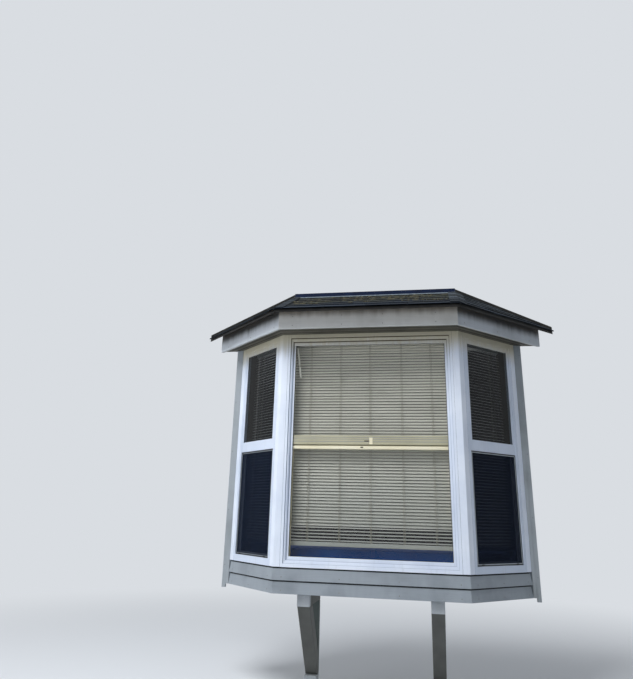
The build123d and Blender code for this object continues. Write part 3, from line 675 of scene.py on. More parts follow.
for side in SIDES:
    low, high = span(f"{side}_screen", side)
    depth = (low.z + high.z) / 2
    weave = bmesh.new()
    bmesh.ops.create_grid(weave, x_segments=1, y_segments=1, size=0.5)
    bmesh.ops.scale(weave, verts=weave.verts,
                    vec=(high.x - low.x - screen_bar, high.y - low.y - screen_bar, 1))
    bmesh.ops.translate(weave, verts=weave.verts, vec=((low.x + high.x) / 2, (low.y + high.y) / 2, depth))
    show(on_facet(weave, side), f"{side}_screen_mesh", screen_mesh, "insect_screen", f"{side}_screen")
    bars = lining((low.x, low.y, high.x, high.y), screen_bar, low.z, high.z - frame_back, 1.5 * MM)
    show(on_facet(bars, side), f"{side}_screen_frame", screen_enamel, "insect_screen")
    inset = screen_bar - lip_width
    inside = (low.x + inset, low.y + inset, high.x - inset, high.y - inset)
    lips = lining(inside, lip_width, depth, high.z, MM)
    show(on_facet(lips, side), f"{side}_screen_lip", bright_lip, "insect_screen")
    tabs = bmesh.new()
    foot = low.y + MM
    for x in (low.x + tab_inset, high.x - tab_inset):
        add_to(tabs, bar((x - tab_half, foot, high.z - tab_back),
                         (x + tab_half, foot + tab_height, high.z + tab_proud), 1.2 * MM))
        grip = bmesh.new()
        bmesh.ops.create_cone(grip, cap_ends=True, segments=16, radius1=grip_radius,
                              radius2=0.85 * grip_radius, depth=grip_height)
        bmesh.ops.translate(grip, verts=grip.verts, vec=(x, foot + tab_height / 2, high.z + grip_rise))
        add_to(tabs, grip)
    show(on_facet(tabs, side), f"{side}_screen_tabs", tab_nylon, "insect_screen")

# Each blind is a stack of crowned aluminium slats between a channel and a bottom rail, on braided dull
# ladders drawn darker than the slats, as painted shade. The baked ivory enamel is satin. A dark band on the
# upper part of every shut slat is dusting and painted shade of the slat above, and the whole blind is
# painted lighter towards its top, a painted reflection, and greyer towards its foot.
slat_width, slat_pitch, slat_gauge, slat_crown = 25 * MM, 21.5 * MM, 0.5 * MM, 2.0 * MM
slat_tilt, open_tilt, tilt_error, open_rows = radians(60), radians(18), 0.7, 5
head_rail, bottom_rail, rail_depth = 25 * MM, 28 * MM, 22 * MM
slat_steps, shut_dust_and_shade = 6, 0.6
cord_half, cord_gap = MM, 4.5 * MM
blind_foot, blind_top = (corner.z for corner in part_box("front_blind"))
slat_enamel, tree, place = start_material("ivory_baked_enamel", 0.42)
level = add_node(tree, "Mapping", {"Vector": place, "Scale": (0.5, 0.5, 1.6)})
clouds = blotches(tree, level, 3, 3, 0.38, 0.66, 0.5)
height = add_node(tree, "SeparateXYZ", {0: place}, "Z")
# Painted reflection: the blinds are lighter towards their top, greyer towards their foot.
lower = add_node(tree, "MapRange", {"Value": height, "From Min": blind_top, "From Max": blind_foot})
dust_and_shade = add_node(tree, "Attribute", output="Fac", attribute_name="dust_and_shade")
finish_material(slat_enamel, "#EFEDE4", [(lower, "#969B9A"), (clouds, "#ADADA6"), (dust_and_shade, "#6C6B63")])
# The cords are drawn darker than the slats as painted shade of the ladders.
ladder_cord, tree, place = start_material("braided_polyester_cord", 0.85)
braid = add_node(tree, "TexWave", {"Vector": place, "Scale": 0.314 / (3 * MM)}, bands_direction="Z")
finish_material(ladder_cord, "#9B988C", [(braid, "#807D72")])


def slat(length, tilt, dirt):
    """One crowned slat along x, tilted about its middle; dirt is how thick the dark band of dusting and
    painted shade lies on the edge that is turned inwards."""
    bm = bmesh.new()
    line = []
    for i in range(slat_steps + 1):
        crown = slat_crown * (1 - (2 * i / slat_steps - 1) ** 2)
        line.append(bm.verts.new((0, crown, slat_width * (i / slat_steps - 0.5))))
    grown = bmesh.ops.extrude_edge_only(bm, edges=[bm.edges.new(pair) for pair in zip(line, line[1:])])
    far = [v for v in grown["geom"] if isinstance(v, bmesh.types.BMVert)]
    bmesh.ops.translate(bm, verts=far, vec=(length, 0, 0))
    bmesh.ops.solidify(bm, geom=bm.faces[:], thickness=slat_gauge)
    # Dusting and painted shade of the slat above, on the inward edge.
    layer = bm.verts.layers.float.new("dust_and_shade")
    for v in bm.verts:
        inner = 0.5 - v.co.z / slat_width
        v[layer] = dirt * min(1.0, max(0.0, inner - 0.5) / 0.25)
    bmesh.ops.rotate(bm, verts=bm.verts, cent=(0, 0, 0), matrix=Matrix.Rotation(tilt, 3, "X"))
    return bm


def blind(facet, closed, cords):
    """A blind in its CAD node's place; cords are the shares of its width at which ladders hang."""
    node = f"{facet}_blind"
    low, high = span(node, facet)
    length, depth = high.x - low.x, (low.z + high.z) / 2
    top, foot = high.y - head_rail, low.y + bottom_rail
    rows = floor((top - foot) / slat_pitch)
    first = top - slat_width * sin(slat_tilt) / 2 - slat_gauge
    slats, rails, strings = bmesh.new(), bmesh.new(), bmesh.new()
    slats.verts.layers.float.new("dust_and_shade")
    for row in range(rows):
        shut = closed and row < rows - open_rows
        tilt, dirt = (slat_tilt, shut_dust_and_shade) if shut else (open_tilt, 0)
        one = slat(length, tilt + radians(random.uniform(-tilt_error, tilt_error)), dirt)
        bmesh.ops.translate(one, verts=one.verts, vec=(low.x, first - row * slat_pitch, depth))
        add_to(slats, one)
    for y0, y1 in ((top, high.y), (low.y, foot)):
        add_to(rails, bar((low.x, y0, depth - rail_depth / 2), (high.x, y1, depth + rail_depth / 2), 3 * MM))
    for share in cords:
        x = low.x + length * share
        for offset in (-slat_width / 2, slat_width / 2):
            for shift in (-cord_gap, cord_gap):
                add_to(strings, bar((x + shift - cord_half, foot, depth + offset - cord_half),
                                    (x + shift + cord_half, top, depth + offset + cord_half)))
    show(on_facet(slats, facet), f"{facet}_blind_slats", slat_enamel, "blind_slats", node)
    show(on_facet(rails, facet), f"{facet}_blind_rails", slat_enamel, "blind_slats")
    show(on_facet(strings, facet), f"{facet}_blind_ladders", ladder_cord, "blind_slats")


blind("front", True, (0.115, 0.313, 0.505, 0.706, 0.895))
for side in SIDES:
    blind(side, False, (0.2, 0.8))

# A clear acrylic wand hangs in front of the front blind from its left end and swings a little to the
# right. It is smooth and bright, two lengths with a thin dark joint between them.
wand_top, wand_foot = Vector((-556 * MM, -400 * MM, 1655 * MM)), Vector((-524 * MM, -400 * MM, 1421 * MM))
wand_radius, wand_joint, joint_share, joint_girth = 8 * MM, 0.62, 0.03, 0.4
wand_plastic = mottled("clear_acrylic_wand", "#FCFCF6", "#F0F0E6", 18, 0.2, 1.49, detail=2)
wand = bmesh.new()
fall = wand_foot - wand_top
turn = Vector((0, 0, 1)).rotation_difference(fall).to_matrix().to_4x4()
for begin, end, girth in ((0.0, wand_joint - joint_share, 1.0),
                          (wand_joint - joint_share, wand_joint + joint_share, joint_girth),
                          (wand_joint + joint_share, 1.0, 1.0)):
    rod = bmesh.new()
    bmesh.ops.create_cone(rod, cap_ends=True, segments=6, radius1=wand_radius * girth,
                          radius2=wand_radius * girth, depth=fall.length * (end - begin))
    soften(rod, 0.5 * MM, 1)
    middle = wand_top + fall * (begin + end) / 2
    bmesh.ops.transform(rod, matrix=Matrix.Translation(middle) @ turn, verts=rod.verts)
    add_to(wand, rod)
show(wand, "front_blind_wand", wand_plastic, "blind_slats")

# The seat cushion is foam in a navy canvas cover, cut to the plan of the bay, flat on the seat and
# crowned above, with piping round its top and bottom edges. Canvas is matt, with a plain weave.
dull_yarn = {"Specular IOR Level": 0.2, "Sheen Weight": 0.05}       # yarn mirrors little
canvas, tree, place = start_material("navy_cotton_canvas", 0.85, **dull_yarn)
thread_pitch = 4 * MM       # canvas threads are under 1 mm, drawn wider so that they show
threads = [add_node(tree, "TexWave", {"Vector": place, "Scale": 0.314 / thread_pitch}, "Fac",
                    bands_direction=axis) for axis in "XYZ"]
cloth = add_node(tree, "Math", {0: threads[0], 1: threads[1]}, operation="MULTIPLY")
cloth = add_node(tree, "Math", {0: cloth, 1: threads[2]}, operation="ADD")
fading = blotches(tree, place, 5, 4, 0.35, 0.7)
shade = add_node(tree, "MapRange", {"Value": cloth, "From Min": 0.4, "From Max": 1.4, "To Max": 0.25})
finish_material(canvas, "#0B3F88", [(fading, "#144E9A"), (shade, "#0A2A54")], (cloth, 0.6 * MM, 0.4))

cushion_cell = 11 * MM
shrink, swell_cap, seat_clear = 7 * MM, 9 * MM, 0.5 * MM
pressure, swell_frames = 4.0, 20
dent_depth = 2.5 * MM
low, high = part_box("seat_cushion")
block = copy_of("seat_cushion")
block_mesh = bpy.data.meshes.new("cushion_block")
block.to_mesh(block_mesh)
block.free()
pad = bpy.data.objects.new("seat_cushion_cover", block_mesh)
bpy.context.scene.collection.objects.link(pad)
cells = pad.modifiers.new("cells", "REMESH")
cells.mode = "VOXEL"
cells.voxel_size = cushion_cell


def settle(piece):
    """Applies a piece's modifiers to its mesh."""
    mesh = bpy.data.meshes.new_from_object(piece.evaluated_get(bpy.context.evaluated_depsgraph_get()))
    piece.modifiers.clear()
    piece.data = mesh
    return mesh


cover = settle(pad)
bm = bmesh.new()
bm.from_mesh(cover)
bm.normal_update()
for vert in bm.verts:
    vert.co -= vert.normal * shrink
    vert.co.z = max(vert.co.z - shrink, low.z + seat_clear)
bmesh.ops.smooth_vert(bm, verts=bm.verts, factor=0.5, use_axis_x=True, use_axis_y=True, use_axis_z=True)
bm.to_mesh(cover)
bm.free()
before = [v.co.copy() for v in cover.vertices]
swelling = pad.modifiers.new("swelling", "CLOTH")
swelling.settings.quality = 4
swelling.settings.use_pressure = True
swelling.settings.uniform_pressure_force = pressure
swelling.settings.effector_weights.gravity = 0
swelling.point_cache.frame_end = swell_frames
for step in range(1, swell_frames + 1):
    bpy.context.scene.frame_set(step)
cover = settle(pad)
bpy.context.scene.frame_set(1)
for vert, start in zip(cover.vertices, before):
    moved = vert.co - start
    if moved.length > swell_cap:
        moved = moved.normalized() * swell_cap
    vert.co = start + moved
    vert.co.z = max(vert.co.z, low.z + seat_clear)
bm = bmesh.new()
bm.from_mesh(cover)
for vert in bm.verts:
    rise = max(0.0, (vert.co.z - low.z) / (high.z - low.z))
    vert.co.z += dent_depth * noise.noise(vert.co * 7) * rise
surface = BVHTree.FromBMesh(bm)
bm.to_mesh(cover)
bm.free()
cover.polygons.foreach_set("use_smooth", [True] * len(cover.polygons))
cover.materials.clear()
cover.materials.append(canvas)
finer = pad.modifiers.new("finer", "SUBSURF")
finer.levels = finer.render_levels = 1
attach(pad, "root")
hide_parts("seat_cushion")

# Piping is a cord in a strip of the same canvas, sewn into the seams round the cushion's edges, so it
# follows the swollen cover.
piping_radius, piping_step, piping_inset = 3.5 * MM, 30 * MM, 14 * MM
probe_start, probe_reach = 50 * MM, 120 * MM        # a ray from outside finds the cover's side
plan = copy_of("seat_cushion")
corners = [v.co.copy() for v in plan.verts if v.co.z < low.z + MM]
plan.free()
middle = sum(corners, Vector()) / len(corners)
corners.sort(key=lambda c: Vector((c.x - middle.x, c.y - middle.y)).angle_signed(Vector((1, 0))))
piping = bmesh.new()
for level in (low.z + piping_inset, high.z - 1.6 * piping_inset):
    touched = []
    for a, b in zip(corners, corners[1:] + corners[:1]):
        outwards = Vector(((b - a).y, (a - b).x, 0)).normalized()
        if outwards.dot(a - middle) < 0:
            outwards.negate()
        parts = max(1, floor((b - a).length / piping_step))
        for i in range(parts):
            point = a.lerp(b, i / parts)
            outside = Vector((point.x, point.y, level)) + outwards * probe_start
            hit = surface.ray_cast(outside, -outwards, probe_reach)[0]
            if hit:
                touched.append(hit)
    line = bpy.data.curves.new("piping", "CURVE")
    line.dimensions = "3D"
    line.bevel_depth = piping_radius
    line.bevel_resolution = 2
    run = line.splines.new("NURBS")
    run.points.add(len(touched) - 1)
    for point, hit in zip(run.points, touched):
        point.co = (*hit, 1)
    run.order_u = 3
    run.use_cyclic_u = True
    run.resolution_u = 3
    draft = bpy.data.objects.new("piping", line)
    bpy.context.scene.collection.objects.link(draft)
    tube = bpy.data.meshes.new_from_object(draft.evaluated_get(bpy.context.evaluated_depsgraph_get()))
    piping.from_mesh(tube)
    bpy.data.objects.remove(draft)
    bpy.data.meshes.remove(tube)
show(piping, "seat_cushion_piping", canvas, "cushion_cloth", smooth=True)

# The roof frame is sawn lumber like the platform: rafters on plates, hips and a ledger, boarded over
# with sheathing plywood, whose peeled veneer has wide, wavy figure.
plywood = wood("sheathing_plywood", "#B89C70", "#8C7049", 22 * MM, 0.1, 0.4 * MM)
show_node("roof_frame", "roof_rafters", 2 * MM, softwood, "framing_lumber", 1)
show_node("roof_deck", "roof_sheathing", 1.5 * MM, plywood, "framing_lumber", 1)

# Soffit and fascia are painted boards. The top of the fascia is painted darker, the eave's shadow with some
# brown runs of roof dirt, and much darker on the side faces. The soffit's dark tone is painted shade with
# some mildew, and dark strips along its boards paint the shade of mildewed grooves.
face_half, fascia_front, fascia_side = 662 * MM, 190 * MM, 129 * MM
window_corner = Vector((face_half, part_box("front_frame")[0].y, 0))
# Painted shade with some mildew: the soffit's dark tone.
soffit_paint = paint("shade_and_mildew_paint_soffit", "#5A574B", "#413F36", stain_share=(0.35, 0.65))
fascia_low, fascia_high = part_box("fascia")
fascia_corner = Vector((fascia_high.x + fascia_low.y, fascia_low.y, 0))
# Painted shadow of the eave, with some roof dirt, over the fascia's top.
fascia_paint = paint("eave_shadowed_oil_paint_fascia", "#C0C2C2", "#ABADAC",
                     ("Z", fascia_low.z + 70 * MM, fascia_high.z - 10 * MM, "#6A6864"), worn=0.12)
# On the side faces the fascia is bluer, with a darker painted shadow at its top.
side_fascia_paint = paint("shadowed_oil_paint_fascia_sides", "#BCC3CB", "#A5ABB2",
                          ("Z", fascia_low.z + 45 * MM, fascia_high.z - 35 * MM, "#3A3D40"), worn=0.12)
boards = show_node("fascia", "fascia_boards", 2.5 * MM, fascia_paint, "fascia_paint")
recoat(boards, side_fascia_paint, lambda face: abs(face.normal.x) > 0.5)
show_node("soffit", "soffit_boards", 1.5 * MM, soffit_paint, "soffit_paint", 1)


def course(facet, low, high, inner, outer, back):
    """A bar along a facet between two corners (height, depth), cut on the mitre lines through two
    plan points and at a plane parallel to the wall."""
    strip = on_facet(bar((-2, *low), (2, *high)), "front" if facet == "front" else "right")
    across = Vector((inner.y - outer.y, outer.x - inner.x, 0))
    if facet == "front":
        cut(strip, inner, across)
        cut(strip, Vector((-inner.x, inner.y, 0)), Vector((-across.x, across.y, 0)))
    else:
        cut(strip, inner, -across)
        cut(strip, Vector((0, back, 0)), Vector((0, 1, 0)))
    if facet == "left":
        bmesh.ops.scale(strip, verts=strip.verts, vec=(-1, 1, 1))
    return strip


# Dark strips that paint the shade of grooves and laps, with mildew.
joint_mildew_and_shade = mottled("mildew_and_shade_in_joints", "#1C1E1D", "#35383A", 12, 0.9, 1.4)
groove_shares, groove_half, groove_proud, groove_sunk = (0.28, 0.6), 4 * MM, 0.4 * MM, 0.5 * MM
soffit_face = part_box("soffit")[0].z
window_face = {facet: span(f"{facet}_frame", facet)[1].z for facet in FACETS}
grooves = bmesh.new()
for facet in FACETS:
    for share in groove_shares:
        depth = window_face[facet] + (fascia_front if facet == "front" else fascia_side) * share
        low, high = soffit_face - groove_proud, soffit_face + groove_sunk
        add_to(grooves, course(facet, (low, depth - groove_half), (high, depth + groove_half),
                               window_corner, fascia_corner, -MM))
show(grooves, "soffit_groove_shade", joint_mildew_and_shade, "soffit_paint")

# Shingles are asphalt mat faced with mineral granules, cut in tabs and laid in courses from the eave
# up, each over the head of the last. They are rough and matt, blue-black at the eave and at the
# sides, gone olive with age higher up the front.
deck_low, deck_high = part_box("roof_deck")
roof_top_half, roof_rise = 683 * MM, 352 * MM
deck_thickness, shingle_head, shingle_butt, overhang, courses = 15 * MM, 4 * MM, 11 * MM, 12 * MM, 6
tab_width, tab_slot, lap, eave_drip, bed = 305 * MM, 7 * MM, 20 * MM, 8 * MM, 0.2 * MM
tab_offsets, tab_curl, butt_waver = (0.35, 0.5, 0.65), (-0.6, 2.0), 2       # curl and waver in mm
backing_inset, backing_short, backing_thinner = 3 * MM, 2 * MM, 3 * MM      # mat seen in the slots
wall_gap = {"front": 7 * MM, "left": 2.2 * MM, "right": 2.2 * MM}
eave_corner = Vector((deck_high.x + deck_low.y, deck_low.y, deck_low.z))
wall_corner = Vector((roof_top_half, 0, deck_low.z + roof_rise))
hip = (wall_corner - eave_corner).normalized()
dull_skin = {"Specular IOR Level": 0.2}     # granules scatter what they mirror


def shingle_finish(name, fresh_tones, aged_tones):
    """Granules: fresh tones at the eave, aged ones above, each as (dark tab, light tab)."""
    material, tree, place = start_material(name, 0.92, **dull_skin)
    tone = add_node(tree, "Attribute", output="Fac", attribute_name="tab_tone")
    specks = add_node(tree, "TexNoise", {"Vector": place, "Scale": 1 / (4 * MM), "Detail": 2})
    clouds = add_node(tree, "TexNoise", {"Vector": place, "Scale": 5, "Detail": 4})
    height = add_node(tree, "SeparateXYZ", {0: place}, "Z")
    height = add_node(tree, "Math", {0: clouds, 1: 0.2, 2: height}, operation="MULTIPLY_ADD")
    old = add_node(tree, "MapRange", {"Value": height, "From Min": deck_low.z + 0.19,
                                      "From Max": deck_low.z + 0.27})
    aged = add_node(tree, "Mix", {0: tone, 6: aged_tones[0], 7: aged_tones[1]}, 2, data_type="RGBA")
    patches = add_node(tree, "MapRange", {"Value": clouds, "From Min": 0.5, "From Max": 0.7, "To Max": 0.6})
    glints = add_node(tree, "MapRange", {"Value": specks, "From Min": 0.55, "From Max": 0.85, "To Max": 0.4})
    coats = [(tone, fresh_tones[1]), (old, aged), (patches, "#1D1F20"), (glints, "#66645C")]
    return finish_material(material, fresh_tones[0], coats, (specks, 1.5 * MM, 0.8))


def slope_axes(facet):
    """Places a slope's own axes in the world: x along the eave, y up the slope and z out of it."""
    along = Vector((1, 0, 0)) if facet == "front" else Vector((cos(quarter), sin(quarter), 0))
    out = along.cross(hip).normalized()
    axes = Matrix((along, out.cross(along), out)).transposed().to_4x4()
    place = Matrix.Translation(eave_corner) @ axes
    return Matrix.Scale(-1, 4, (1, 0, 0)) @ place if facet == "left" else place


def tab(x0, x1, y0, y1, butt, curled=True):
    """One tab: thick at its butt, thin where the next course laps it, its corners slightly curled."""
    bm = bmesh.new()
    bmesh.ops.create_cube(bm, size=1)
    bmesh.ops.subdivide_edges(bm, edges=bm.edges[:], cuts=2, use_grid_fill=True)
    curl = [random.uniform(*tab_curl) * MM if curled else 0.0 for _ in range(2)]
    for v in bm.verts:
        across, up = v.co.x + 0.5, v.co.y + 0.5
        thick = butt + (shingle_head - butt) * up
        thick += (curl[0] * (1 - across) ** 3 + curl[1] * across ** 3) * (1 - up) ** 2
        v.co = Vector((x0 + (x1 - x0) * across, y0 + (y1 - y0) * up,
                       deck_thickness + (thick if v.co.z > 0 else bed)))
    return bm


def add_toned(target, bm, shade):
    """Joins a bmesh and gives its faces one tone."""
    known = len(target.faces)
    add_to(target, bm)
    target.faces.ensure_lookup_table()
    tones = target.faces.layers.float["tab_tone"]
    for index in range(known, len(target.faces)):
        target.faces[index][tones] = shade


front_shingle = shingle_finish("weathered_asphalt_shingle", ("#171D26", "#2B333E"), ("#23252A", "#40433C"))
side_shingle = shingle_finish("dark_asphalt_shingle", ("#1A1F25", "#343B44"), ("#20262B", "#484F56"))
hip_across = Vector((hip.y, -hip.x, 0)).normalized()
eave_run = abs(deck_low.y) / sin(quarter)
eave_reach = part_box("front_shingles")[0].y + 0.3 * MM
side_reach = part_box("right_shingles")[1].x - 0.5 * MM
slope_start = -2 * overhang
for facet in FACETS:
    place = slope_axes(facet)
    top = (slope_axes("front" if facet == "front" else "right").inverted() @ wall_corner).y
    exposure = (top - slope_start) / courses
    first_x, last_x = (-2 * eave_corner.x - 0.05, 0.05) if facet == "front" else (-0.2, eave_run + 0.1)
    slope = bmesh.new()
    slope.faces.layers.float.new("tab_tone")
    for course_number in range(courses):
        eave_course, top_course = course_number == 0, course_number == courses - 1
        y0 = slope_start + course_number * exposure - (eave_drip if eave_course else 0)
        y1 = slope_start + (course_number + 1) * exposure + (0 if top_course else lap)
        backing = tab(first_x, last_x, y0 + (0 if eave_course else backing_inset), y1 - backing_short,
                      shingle_butt - backing_thinner, False)
        add_toned(slope, backing, 0.0)
        x = first_x - tab_width * random.choice(tab_offsets) * (1 + course_number % 2)
        while x < last_x:
            waver = random.uniform(0, butt_waver) * MM
            add_toned(slope, tab(x, x + tab_width - tab_slot, y0 + waver, y1, shingle_butt), random.random())
            x += tab_width
    bmesh.ops.transform(slope, matrix=place, verts=slope.verts)
    if facet == "front":
        for flip in (1, -1):
            cut(slope, Vector((flip * (eave_corner.x - 0.3 * MM), eave_corner.y, 0)),
                Vector((flip * hip_across.x, hip_across.y, 0)))
    else:
        flip = -1 if facet == "left" else 1
        cut(slope, Vector((flip * eave_corner.x, eave_corner.y, 0)),
            Vector((-flip * hip_across.x, -hip_across.y, 0)))
        cut(slope, Vector((flip * side_reach, 0, 0)), Vector((flip, -1, 0)).normalized())
    cut(slope, Vector((0, eave_reach, 0)), Vector((0, -1, 0)))
    cut(slope, Vector((0, -wall_gap[facet], 0)), Vector((0, 1, 0)))
    granules = front_shingle if facet == "front" else side_shingle
    show(slope, f"{facet}_shingle_tabs", granules, "roof_shingles", f"{facet}_shingles")

# Cap shingles are single tabs bent over each hip, each lapping the one below it, of the same dark
# granules as the side slopes.
cap_length, cap_wing, cap_gauge, cap_lap = 150 * MM, 62 * MM, 3.5 * MM, 35 * MM
cap_head, cap_butt = 0.4 * MM, 4.2 * MM         # how high a cap's two ends lie over the courses
cap_wall_gap = 4 * MM
side_out = slope_axes("right").to_3x3().col[2]
side_wing = side_out.cross(Vector((0, 1, 0))).normalized()
side_wing = side_wing if side_wing.x > 0 else -side_wing
hip_run = wall_corner - eave_corner
cap_count = ceil(hip_run.length / cap_length)
cap_lift = (deck_thickness + shingle_butt + 0.6 * MM) / slope_axes("front").to_3x3().col[2].z
for side in SIDES:
    caps = bmesh.new()
    caps.faces.layers.float.new("tab_tone")
    for index in range(cap_count):
        begin, end = index / cap_count, min((index + 1) / cap_count + cap_lap / hip_run.length, 0.99)
        one = bmesh.new()
        bmesh.ops.create_grid(one, x_segments=6, y_segments=1, size=1)
        for v in one.verts:
            wing = side_wing * v.co.x if v.co.x > 0 else Vector((v.co.x, 0, 0))
            share, rise = (end, cap_head) if v.co.y > 0 else (begin, cap_butt)
            v.co = eave_corner + hip_run * share + wing * cap_wing + Vector((0, 0, cap_lift + rise))
        bmesh.ops.recalc_face_normals(one, faces=one.faces)
        if sum((f.normal for f in one.faces), Vector()).z < 0:
            bmesh.ops.reverse_faces(one, faces=one.faces)
        bmesh.ops.solidify(one, geom=one.faces[:], thickness=cap_gauge)
        add_toned(caps, one, random.random())
    cut(caps, Vector((0, -cap_wall_gap, 0)), Vector((0, 1, 0)))
    if side == "left":
        bmesh.ops.scale(caps, verts=caps.verts, vec=(-1, 1, 1))
    replaced = ["hip_caps"] if side == "left" else []
    show(caps, f"{side}_hip_cap_tabs", side_shingle, "roof_shingles", *replaced)

# Moss grows in small cushions along the butts of the upper courses on the front slope. It is dull
# olive, soft and broken up by dark hollows.
moss_count, moss_size, moss_stretch = 620, (4 * MM, 13 * MM), (1, 1.9)
mossy_courses = (2, 3, 3, 4, 4, 4, 5, 5)        # a course is named as often as moss likes it
tuft_depth, tuft_rise, tuft_lumps = 0.7, 0.5, 0.35      # shares of a tuft's size
moss, tree, place = start_material("cushion_moss", 0.95)
tufts = add_node(tree, "TexNoise", {"Vector": place, "Scale": 1 / (3 * MM), "Detail": 3})
clouds = blotches(tree, place, 22, 2, 0.42, 0.6)
finish_material(moss, "#35342A", [(clouds, "#726D58"), (tufts, "#1A1B16")], (tufts, 2 * MM, 0.9))
place = slope_axes("front")
clumps = bmesh.new()
exposure = ((place.inverted() @ wall_corner).y + 2 * overhang) / courses
for _ in range(moss_count):
    row = random.choice(mossy_courses)
    y = slope_start + row * exposure + random.gauss(-2, 5) * MM
    x = -eave_corner.x + (random.random() * 2 - 1) * (roof_top_half - 0.06)
    size = random.uniform(*moss_size)
    stretch = random.uniform(*moss_stretch)
    if noise.noise(Vector((x * 5, row * 3.1, 0))) + 0.5 * noise.noise(Vector((x * 17, row, 4))) < -0.05:
        continue
    tuft = bmesh.new()
    bmesh.ops.create_uvsphere(tuft, u_segments=7, v_segments=5, radius=1)
    for v in tuft.verts:
        v.co *= 1 + tuft_lumps * noise.noise(v.co * 2 + Vector((x, y, 0)) * 50)
    bmesh.ops.scale(tuft, verts=tuft.verts, vec=(size * stretch, size * tuft_depth, size * tuft_rise))
    bmesh.ops.translate(tuft, verts=tuft.verts, vec=(x, y, deck_thickness + shingle_head + 4 * MM))
    add_to(clumps, tuft)
bmesh.ops.transform(clumps, matrix=place, verts=clumps.verts)
show(clumps, "front_slope_moss", moss, "roof_shingles", smooth=True)


# Flashing and drip edge are folded sheet with a dull dark coat, navy above the front slope and black
# elsewhere. A bright strip of bare zinc along the apron is its hemmed edge, drawn bright as a painted
# highlight, and the drip edge's upper fold closes the boards' edge.
def coated_sheet(name, coat, chalky):
    """Dull enamel on folded sheet, paler where it has chalked and lost its gloss."""
    material, tree, place = start_material(name, 0.6, **{"Specular IOR Level": 0.3})
    return finish_material(material, coat, [(blotches(tree, place, 12, 4, 0.4, 0.75), chalky)])


navy_sheet = coated_sheet("navy_coated_sheet", "#07132B", "#0C1C3A")
black_sheet = coated_sheet("brown_black_coated_sheet", "#1B1B1A", "#2D2C2A")
# A painted highlight: the hem's bright bare zinc stands for its edge catching light.
hem_highlight, tree, place = start_material("galvanised_hem_highlight", 0.45, Metallic=1.0)
spangle = add_node(tree, "TexVoronoi", {"Vector": place, "Scale": 1 / (12 * MM)}, "Color")
spangle = add_node(tree, "SeparateColor", {"Color": spangle})
finish_material(hem_highlight, "#8B98A4", [(spangle, "#A9B5BF")])
sheet_round = 0.4 * MM
apron = copy_of("wall_flashing")
for end in (roof_top_half, -roof_top_half):
    bmesh.ops.bisect_plane(apron, geom=apron.verts[:] + apron.edges[:] + apron.faces[:], dist=0.001 * MM,
                           plane_co=(end, 0, 0), plane_no=(1, 0, 0))
soften(apron, sheet_round, 1)
flashing = show(apron, "flashing_sheet", navy_sheet, "roof_flashing", "wall_flashing")
recoat(flashing, black_sheet, lambda face: abs(face.center.x) > roof_top_half)
show_node("drip_edge", "drip_edge_sheet", sheet_round, black_sheet, "roof_flashing", 1, grain=False)
apron_low, apron_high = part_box("wall_flashing")
hem_height, hem_half, hem_end = apron_high.z - 65 * MM, 5 * MM, roof_top_half - 3 * MM
hem = bar((-hem_end, hem_height - hem_half, -apron_low.y - hem_half),
          (hem_end, hem_height + hem_half, -apron_low.y + hem_half), 3 * MM)
show(on_facet(hem, "front"), "flashing_hem_highlight", hem_highlight, "roof_flashing")
drip_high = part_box("drip_edge")[1]
drip_gauge, drip_fold = 1.4 * MM, (drip_high.z - 2 * MM, drip_high.z + 4 * MM)
fold = bmesh.new()
for facet in FACETS:
    depth = span("drip_edge", "front")[1].z if facet == "front" else drip_high.x * cos(quarter)
    add_to(fold, course(facet, (drip_fold[0], depth - drip_gauge), (drip_fold[1], depth),
                        wall_corner, eave_corner, -0.2 * MM))
show(fold, "drip_edge_fold", black_sheet, "roof_flashing")

# The skirt is two courses of beveled lap siding a face, mitred at the corners, and flat trim boards lie on
# the wall beside the windows. Both are under the same chalked grey paint. A dark strip under every lap
# paints its shadow, with mildew, and dark mildewed caulk fills the joints at the skirt's ends.
skirt_paint = paint("chalked_oil_paint_skirt", "#8F979F", "#7A8289", worn=0.12)
trim_paint = paint("chalked_oil_paint_trim", "#979EA4", "#858C90", worn=0.12)
mildewed_caulk = silicone("mildewed_acrylic_caulk", "#69727A", "#474F57")
show_node("skirt", "skirt_boards", 1.2 * MM, skirt_paint, "siding_paint")
show_node("wall_trim", "trim_boards", 1.2 * MM, trim_paint, "siding_paint")
skirt_low, skirt_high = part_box("skirt")
lap_height = (skirt_high.z - skirt_low.z) / 2
lap_shadow, lap_back, lap_front = 9 * MM, 8 * MM, 5.4 * MM
mitre_end = window_corner + Vector((sin(quarter / 2), -cos(quarter / 2), 0))
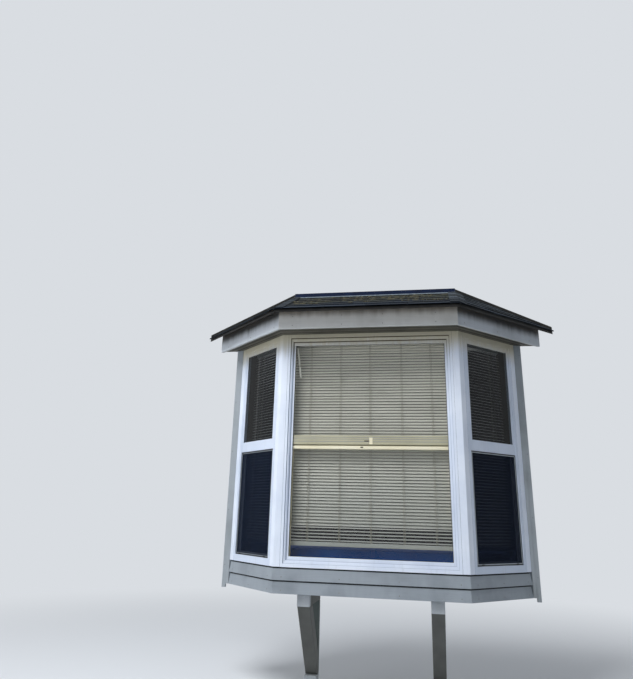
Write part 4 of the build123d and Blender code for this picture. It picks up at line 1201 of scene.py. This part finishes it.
# Painted shadow under each lap, with mildew.
laps = bmesh.new()
for facet in FACETS:
    face = window_face[facet]
    for top in (skirt_high.z - 0.2 * MM, skirt_high.z - lap_height):
        add_to(laps, course(facet, (top - lap_shadow, face - lap_back), (top, face - lap_front),
                            window_corner, mitre_end, skirt_high.y))
show(laps, "skirt_lap_shadow", joint_mildew_and_shade, "siding_paint")
caulk_inner, caulk_outer, caulk_proud = skirt_high.x - 18 * MM, skirt_high.x - 6 * MM, 5 * MM
beads = bmesh.new()
for low_x, high_x in ((caulk_inner, caulk_outer), (-caulk_outer, -caulk_inner)):
    add_to(beads, bar((low_x, skirt_high.y - caulk_proud, skirt_low.z),
                      (high_x, skirt_high.y + 2 * MM, skirt_high.z), 2 * MM))
show(beads, "skirt_end_caulk", mildewed_caulk, "siding_paint")

# Nails hold the fascia, skirt and trim boards. Their heads are small flat discs under the paint, dull
# and weathered dark.
nail_radius, nail_proud, nail_inset = 4 * MM, 0.8 * MM, 14 * MM
fascia_nails, skirt_nails = (25 * MM, 95 * MM), 22 * MM         # heights over the boards' feet
front_nails = {"fascia": (-0.55, -0.18, 0.12, 0.5), "skirt": (-0.6, -0.2, 0.2, 0.6)}
side_nails = {"fascia": (0.06, 0.42, 0.8), "skirt": (0.2, 0.46, 0.72)}
trim_nails, trim_depth = (0.05, 0.45, 0.9, 1.3, 1.66), 19 * MM
nail_face = mottled("painted_nail_heads", "#888C8E", "#6B6965", 30, 0.6, detail=2)
nails = bmesh.new()


def nail(facet, x, height, depth):
    """Drives a nail at a place on a facet's own axes."""
    head = bmesh.new()
    bmesh.ops.create_cone(head, cap_ends=True, segments=12, radius1=nail_radius, radius2=nail_radius * 0.85,
                          depth=2 * nail_proud)
    bmesh.ops.translate(head, verts=head.verts, vec=(x, height, depth))
    add_to(nails, on_facet(head, facet))


for facet in FACETS:
    flip = -1 if facet == "left" else 1
    places = front_nails if facet == "front" else side_nails
    fascia_face = -fascia_low.y if facet == "front" else fascia_high.x * cos(quarter)
    for x in places["fascia"]:
        for height in fascia_nails:
            nail(facet, flip * x, fascia_low.z + height, fascia_face)
    for x in places["skirt"]:
        for foot in (skirt_low.z, skirt_low.z + lap_height):
            nail(facet, flip * x, foot + skirt_nails, window_face[facet])
trim_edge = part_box("wall_trim")[1].x - nail_inset
for x in (trim_edge, -trim_edge):
    for height in trim_nails:
        nail("front", x, height, trim_depth)
show(nails, "board_nails", nail_face, "siding_paint")
